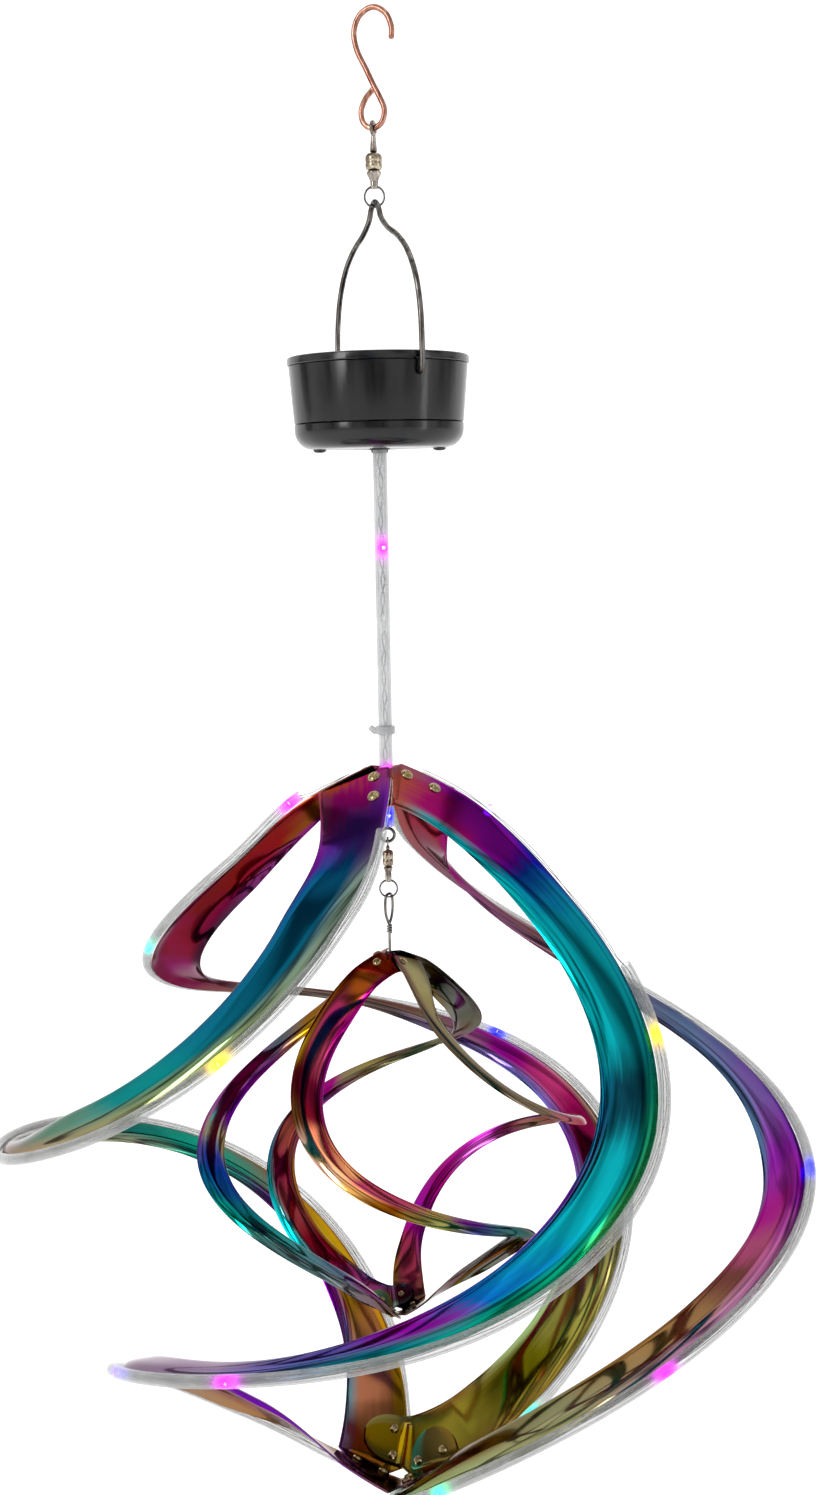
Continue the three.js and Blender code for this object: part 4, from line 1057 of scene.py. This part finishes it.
def make_cup():
    wall = [
        (CUP_WALL_RADIUS, CUP_SEAM + SHEET_GAP), (36.4, CUP_TOP - 3.6), (34.4, CUP_TOP - 3.6),
        (32.6, CUP_SEAM + SHEET_GAP),
    ]
    fine_wall = []
    for (r0, z0), (r1, z1) in zip(wall, wall[1:] + wall[:1]):
        fine_wall += [(r0 + (r1 - r0) * t, z0 + (z1 - z0) * t) for t in (0.02, 0.5, 0.98)]
    shell = Shape().lathe(fine_wall, 128, closed=True)
    piece = shell.make("cup_wall_shell", CUP_BLACK, CUP_BODY, "cup_black", ("solar_cup_wall",))
    bore(piece, HOOK_WIRE + 0.25, 50, (0, 0, BAIL_HOLE_HEIGHT), BAIL_AZIMUTH)
    corner, thick, bowl = 7.5, 2, []
    for radius, ends in ((corner, range(0, 9)), (corner - thick, range(8, -1, -1))):
        for step in ends:
            angle = step / 8 * math.pi / 2
            out, down = radius * math.sin(angle), radius * math.cos(angle)
            bowl.append((CUP_WALL_RADIUS - corner + out, CUP_BOTTOM + corner - down))
        if radius == corner:
            bowl += [(CUP_WALL_RADIUS, CUP_SEAM - 0.3), (34.3, CUP_SEAM), (CUP_WALL_RADIUS - thick, CUP_SEAM)]
    profile = [(4.4, CUP_BOTTOM + thick), (4.4, CUP_BOTTOM + 0.2), (4.7, CUP_BOTTOM)] + bowl
    Shape().lathe(profile, 128, closed=True).make(
        "cup_base_bowl", CUP_BLACK, CUP_BODY, "cup_black", ("solar_cup_base",))
    rim = [
        (30, CUP_TOP - 3.2), (CUP_RIM_RADIUS - 0.3, CUP_TOP - 3.2), (CUP_RIM_RADIUS, CUP_TOP - 2.9),
        (CUP_RIM_RADIUS, CUP_TOP - 0.8), (CUP_RIM_RADIUS - 0.25, CUP_TOP - 0.25),
        (CUP_RIM_RADIUS - 0.8, CUP_TOP), (35.4, CUP_TOP), (35.1, CUP_TOP - 0.35), (33.9, CUP_TOP - 0.35),
        (33.6, CUP_TOP), (32.4, CUP_TOP),
    ]
    make_bezel(rim)
    make_panel()


def square_ring(half, squareness, height):
    """A rounded square of points, level, that goes the same way round as a circle of as many points."""
    ring = []
    for k in range(PANEL_POINTS):
        a = 2 * math.pi * k / PANEL_POINTS
        c, s = math.cos(a), math.sin(a)
        scale = (abs(c) ** squareness + abs(s) ** squareness) ** (-1 / squareness)
        ring.append(Vector((half * c * scale, half * s * scale, height)))
    return ring


def make_bezel(rim):
    rings = []
    for radius, z in rim:
        angles = [2 * math.pi * k / PANEL_POINTS for k in range(PANEL_POINTS)]
        rings.append([Vector((radius * math.cos(a), radius * math.sin(a), z)) for a in angles])
    for half, drop in ((22.9, 0), (22.6, 0.25), (22.6, 1.4), (18.2, 1.4), (18.2, 3.2)):
        rings.append(square_ring(half, 14, CUP_TOP - drop))
    Shape().closed_rings(rings).make("panel_bezel_rim", CUP_BLACK, CUP_BODY, "cup_black", ("panel_bezel",))


def make_panel():
    rings = [square_ring(half, 16, CUP_TOP - drop) for half, drop in ((22.1, 1.05), (22.1, 0.15), (21.8, 0.05))]
    Shape().rings(rings).make("solar_panel_resin", SOLAR, CUP_BODY, "solar_cells", ("solar_panel",))


def make_cup_fittings():
    for k, x in enumerate((-SCREW_RADIUS, SCREW_RADIUS), 1):
        profile = [
            (0, CUP_BOTTOM - 1.3), (1.0, CUP_BOTTOM - 1.27), (1.9, CUP_BOTTOM - 1.1), (2.5, CUP_BOTTOM - 0.7),
            (2.7, CUP_BOTTOM - 0.3), (2.7, CUP_BOTTOM - 0.1), (1.1, CUP_BOTTOM - 0.1), (1.1, CUP_BOTTOM + 14.6),
            (0, CUP_BOTTOM + 15.2),
        ]
        Shape().lathe(profile, 32, at=(x, 0, 0)).make(
            f"base_screw_{k}_domed", SCREW_METAL, CUP_BODY, "screw_steel", (f"base_screw_{k}",))
    button = [
        (0, CUP_BOTTOM - 1.4), (2.2, CUP_BOTTOM - 1.5), (3.0, CUP_BOTTOM - 1.6), (3.6, CUP_BOTTOM - 1.1),
        (3.6, CUP_BOTTOM + 4.4), (1.8, CUP_BOTTOM + 4.4), (1.8, CUP_BOTTOM + 8), (0, CUP_BOTTOM + 8),
    ]
    Shape().lathe(rounded(button, 0.3), 36, at=(0, BUTTON_Y, 0)).make(
        "switch_button_cap", SWITCH, "power_button", "switch_plastic", ("switch_button",))
    inner = RISER_RADIUS + 0.12
    gland = [
        (inner, CUP_BOTTOM - 0.3), (inner + 0.2, CUP_BOTTOM - 0.5), (3.9, CUP_BOTTOM - 0.5),
        (4.2, CUP_BOTTOM - 0.2), (4.2, CUP_BOTTOM + 2.1), (5.6, CUP_BOTTOM + 2.3), (5.6, CUP_BOTTOM + 3.6),
        (inner, CUP_BOTTOM + 3.6),
    ]
    plug = Shape().lathe(gland, 48, closed=True)
    plug.make("tube_gland_plug", GLAND, CUP_BODY, "gland_rubber", ("tube_gland",))
    looks = {
        "circuit_board": BOARD, "battery_cell": CELL_WRAP, "battery_plate_contact": CONTACT,
        "battery_spring_contact": CONTACT, "switch_body": SWITCH,
    }
    for node, look in looks.items():
        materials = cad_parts[node].data.materials
        materials.clear()
        materials.append(look)


# ---- Riser, its wires and its lights ----


def bead(middle, direction, length, radius):
    """A small capsule about a point, along a direction."""
    profile = [(0, -length / 2)]
    for end, degrees in ((-1, (-60, -30, 0)), (1, (0, 30, 60))):
        for angle in map(math.radians, degrees):
            height = end * (length / 2 - radius) + radius * math.sin(angle)
            profile.append((radius * math.cos(angle), height))
    profile.append((0, length / 2))
    return Shape().lathe(profile, 16, standing(direction), middle)


def paint_glow(piece, lights, reach):
    """Paints the glow of each light onto a clear tube round it, as a colour and share in a glow layer; the lights
    are (brightest point, colour) pairs in millimetres.
    """
    mesh = piece.data
    layer = mesh.color_attributes.new("glow", "FLOAT_COLOR", "POINT")
    spots = [(place(point), linear(colour)) for point, colour in lights]
    for vertex in mesh.vertices:
        away = [max((vertex.co - spot).length * 1000 - 0.5, 0) for spot, _ in spots]
        shares = [math.exp(-(distance / reach) ** 2) for distance in away]
        nearest = max(range(len(spots)), key=shares.__getitem__)
        layer.data[vertex.index].color = (*spots[nearest][1][:3], shares[nearest])


def twisted_pair(path, spread, radius, turns, name, body, start=0.0):
    """Two fine wires that wind round each other along a path."""
    shape = Shape()
    path = [Vector(p) for p in path]
    count = len(path)
    for side in (0, math.pi):
        points = []
        normal = (path[1] - path[0]).orthogonal().normalized()
        for i, point in enumerate(path):
            tangent = (path[min(i + 1, count - 1)] - path[max(i - 1, 0)]).normalized()
            normal = (normal - tangent * normal.dot(tangent)).normalized()
            angle = side + start + turns * 2 * math.pi * i / (count - 1)
            points.append(point + spread * (math.cos(angle) * normal + math.sin(angle) * tangent.cross(normal)))
        shape.tube(points, radius, 6)
    return shape.make(name, STRING_WIRE, body, "wire_steel")


def hollow_tube(path, outer, bore, sides, name, material, body, slot, replaced):
    """A tube with a bore, closed at both ends by its wall."""
    path = [Vector(p) for p in path]
    outside = Shape().tube(path, outer, sides, caps=False)
    inside = Shape().tube(path, bore, sides, caps=False)
    shape = Shape()
    shape.points = outside.points + inside.points
    shape.uvs = outside.uvs + inside.uvs
    base = len(outside.points)
    shape.faces = outside.faces + [tuple(base + i for i in reversed(face)) for face in inside.faces]
    last = base - sides
    for k in range(sides):
        m = (k + 1) % sides
        shape.faces.append((k, base + k, base + m, m))
        shape.faces.append((last + k, last + m, base + last + m, base + last + k))
    return shape.make(name, material, body, slot, replaced)


def make_riser():
    steps = 160
    heights = [RISER_FOOT + (RISER_TOP - RISER_FOOT) * k / steps for k in range(steps + 1)]
    riser = hollow_tube([(0, 0, z) for z in heights], RISER_RADIUS, RISER_BORE, 28, "riser_tube_clear",
                        RISER_CLEAR, CUP_BODY, "clear_tube", ("riser_tube",))
    # the painted glow is brightest on the riser's front, towards the camera
    lights = [((0.8, -2.7, z), LED_COLOURS[word]) for z, word in RISER_LEDS]
    paint_glow(riser, lights, RISER_GLOW_REACH)
    random.seed(4)
    sway = [random.uniform(-0.35, 0.35) for _ in range(RISER_STRING_SWAYS + 2)]
    path = []
    last = RISER_STRING_POINTS - 1
    for k in range(RISER_STRING_POINTS):
        z = RISER_STRING_FOOT + (RISER_STRING_TOP - RISER_STRING_FOOT) * k / last
        knot = k / last * RISER_STRING_SWAYS
        i = int(knot)
        drift = sway[i] + (sway[i + 1] - sway[i]) * ramp(knot - i, 0, 1)
        path.append((drift, -drift * 0.7, z))
    twisted_pair(path, 0.75, 0.3, 9, "riser_string", CUP_BODY)
    for k, (z, word) in enumerate(RISER_LEDS, 1):
        bead((0.2, -0.9, z), Vector((0, 0, 1)), 3.2, 0.95).make(
            f"riser_led_{k}", LED_LOOKS[word], CUP_BODY, "light_tube")
    band = [(3.0, -1.6), (3.9, -1.6), (4.1, -1.3), (4.1, 1.3), (3.9, 1.6), (3.0, 1.6)]
    tie = Shape().lathe([(r, TIE_HEIGHT + z) for r, z in band], 40, closed=True)
    tie.tube([(-3.9, 0, TIE_HEIGHT - 0.6), (-5.2, -0.3, TIE_HEIGHT + 0.2), (-6.4, -0.6, TIE_HEIGHT + 1.4)],
             lambda share: 1.5 - 0.4 * share, 16)
    tie.make("riser_tie_band", TIE_CLEAR, CUP_BODY, "tie_clear", ("riser_tie",))
    hanger = Shape().tube(circle(2.9, HANGER_EYE), 0.7, 14, closed=True)
    hanger.lathe([(0, HANGER_EYE + 2.6), (0.9, HANGER_EYE + 2.7), (0.9, 151.8), (0, 152)], 20)
    hanger.make("hanger_eye_wire", WIRE_STEEL, CUP_BODY, "wire_steel", ("hanger_eye",))


# ---- Light tubes ----


def tube_point(turn, u):
    """The middle line of a light tube, along the outside of a blade's rolled edge."""
    at = BladeFrame(OUTER, turn, u)
    clear = TUBE_RADIUS + OUTER["sheet"] / 2 + 0.1
    at_hub = ramp(abs(u), 0.78, 0.9)
    drop = OUTER["roll"] * 0.55 * (1 - at_hub) + math.copysign(clear, u) * at_hub
    return at.at(-(clear - 0.55) * (1 - 0.5 * at_hub), sink_at(OUTER, u) - drop)


def string_point(turn, u, start):
    """The light string's line: along the tube, and before the tube's start along the bare edge of the sheet."""
    at = BladeFrame(OUTER, turn, u)
    fall = OUTER["roll"] * (1 - ramp(abs(u), 0.72, 0.9))
    bare = at.at(-1.1, sink_at(OUTER, u) - fall * 0.8 + 0.6 * ramp(abs(u), 0.72, 0.9))
    return bare.lerp(tube_point(turn, u), ramp(u, start - 0.015, start + 0.01))


def make_light_tube(letter, turn):
    start = TUBE_STARTS[letter]
    steps = 260
    stations = [start + (TUBE_END - start) * k / steps for k in range(steps + 1)]
    path = [tube_point(turn, u) for u in stations]
    tube = hollow_tube(path, TUBE_RADIUS, TUBE_BORE, 20, f"light_tube_{letter}_clear", TUBE_CLEAR, CUP_BODY,
                       "light_tube", (f"light_tube_{letter}",))
    lights = []
    for u, word in LEDS[letter]:
        # the painted glow is brightest on the tube's side towards the camera
        facing = (Vector((0, -1, 0.2)) - 0.5 * BladeFrame(OUTER, turn, u).across).normalized()
        lights.append((tube_point(turn, u) + TUBE_RADIUS * facing, LED_COLOURS[word]))
    paint_glow(tube, lights, TUBE_GLOW_REACH)
    whole = [STRING_START + (STRING_END - STRING_START) * k / 700 for k in range(701)]
    twisted_pair([string_point(turn, u, start) for u in whole], 0.55, LED_WIRE, LED_WIRE_TURNS,
                 f"light_string_{letter}", CUP_BODY, turn)
    for k, (u, word) in enumerate(LEDS[letter], 1):
        direction = (tube_point(turn, u + 0.003) - tube_point(turn, u - 0.003)).normalized()
        bead(tube_point(turn, u), direction, 3.4, 1.05).make(
            f"light_{letter}_{k}", LED_LOOKS[word], CUP_BODY, "light_tube")
    out = (path[-1] - path[-2]).normalized()
    cap = [(0, 0), (1.9, 0), (2.25, 0.25), (2.3, 0.6), (2.3, 4.6), (2.1, 5.4), (1.5, 5.9), (0, 6)]
    Shape().lathe(cap, 32, standing(out), path[-1] + out * 0.3).make(
        f"tube_cap_{letter}_plug", CAP_BLACK, CUP_BODY, "cap_black", (f"tube_cap_{letter}",))


# ---- Spinners ----


def make_outer_spinner():
    for k, (letter, turn) in enumerate(BLADE_TURNS.items()):
        name = f"outer_blade_{letter}"
        look = rainbow_metal_with_painted_reflections(f"rainbow_{name}", FILM_AND_REFLECTION_COLOURS[name], k)
        make_blade(OUTER, turn, name, look, CUP_BODY, "rainbow_steel")
        make_light_tube(letter, turn)
        for hub, end in (("upper", -1), ("lower", 1)):
            for j, distance in enumerate(RIVET_DISTANCES, 1):
                spot, out = rivet_place(OUTER, turn, end, distance, RIVET_INSET)
                node = f"{hub}_rivet_{letter}{j}"
                make_rivet(f"{node}_dome", spot, out, OUTER, 2.8, RIVET_METAL, CUP_BODY, "rivet_brass", (node,))


def make_inner_spinner():
    body = "inner_spinner"
    for k, (letter, turn) in enumerate(BLADE_TURNS.items()):
        name = f"inner_blade_{letter}"
        look = rainbow_metal_with_painted_reflections(f"rainbow_{name}", FILM_AND_REFLECTION_COLOURS[name], k + 10)
        make_blade(INNER, turn, name, look, body, "rainbow_steel")
        for hub, end in (("upper", -1), ("lower", 1)):
            spot, out = rivet_place(INNER, turn, end, 9.5, 4.5)
            make_rivet(f"inner_{hub}_rivet_{letter}", spot, out, INNER, 1.9, RIVET_METAL, body, "rivet_brass")
    top = LINK_PIVOT + INNER_RING_WIRE + LINK_WIRE + SHEET_GAP
    loop = [(0, 0, 96), (1.7, 0, 99.5), (2.5, 0, 104), (1.7, 0, top - 0.7), (0, 0, top), (-1.7, 0, top - 0.7),
            (-2.5, 0, 104), (-1.7, 0, 99.5), (-0.1, 0, 96.2)]
    link = Shape().tube(turned_about_z(smooth_path(loop, 10), 50), LINK_WIRE, 14)
    link.tube([(0, 0, z) for z in (80.5, 85, 90, 95, 97)], LINK_WIRE, 14)
    wrap = []
    for k in range(73):
        angle = 2 * math.pi * 3 * k / 72
        wrap.append((0.85 * math.cos(angle), 0.85 * math.sin(angle), 92.4 + 3.4 * k / 72))
    link.tube(wrap, 0.42, 10)
    link.lathe([(0, 77.4), (0.9, 77.6), (1.5, 78.2), (1.9, 79.3), (1.5, 80.4), (0.9, 81), (0, 81.2)], 28)
    link.make("inner_link_wire", WIRE_STEEL, body, "wire_steel", ("inner_link",))


# ---- All of it ----

make_camera()
make_floor()
make_lights()
make_suspension()
make_cup()
make_cup_fittings()
make_riser()
make_outer_spinner()
make_inner_spinner()

bpy.context.view_layer.update()
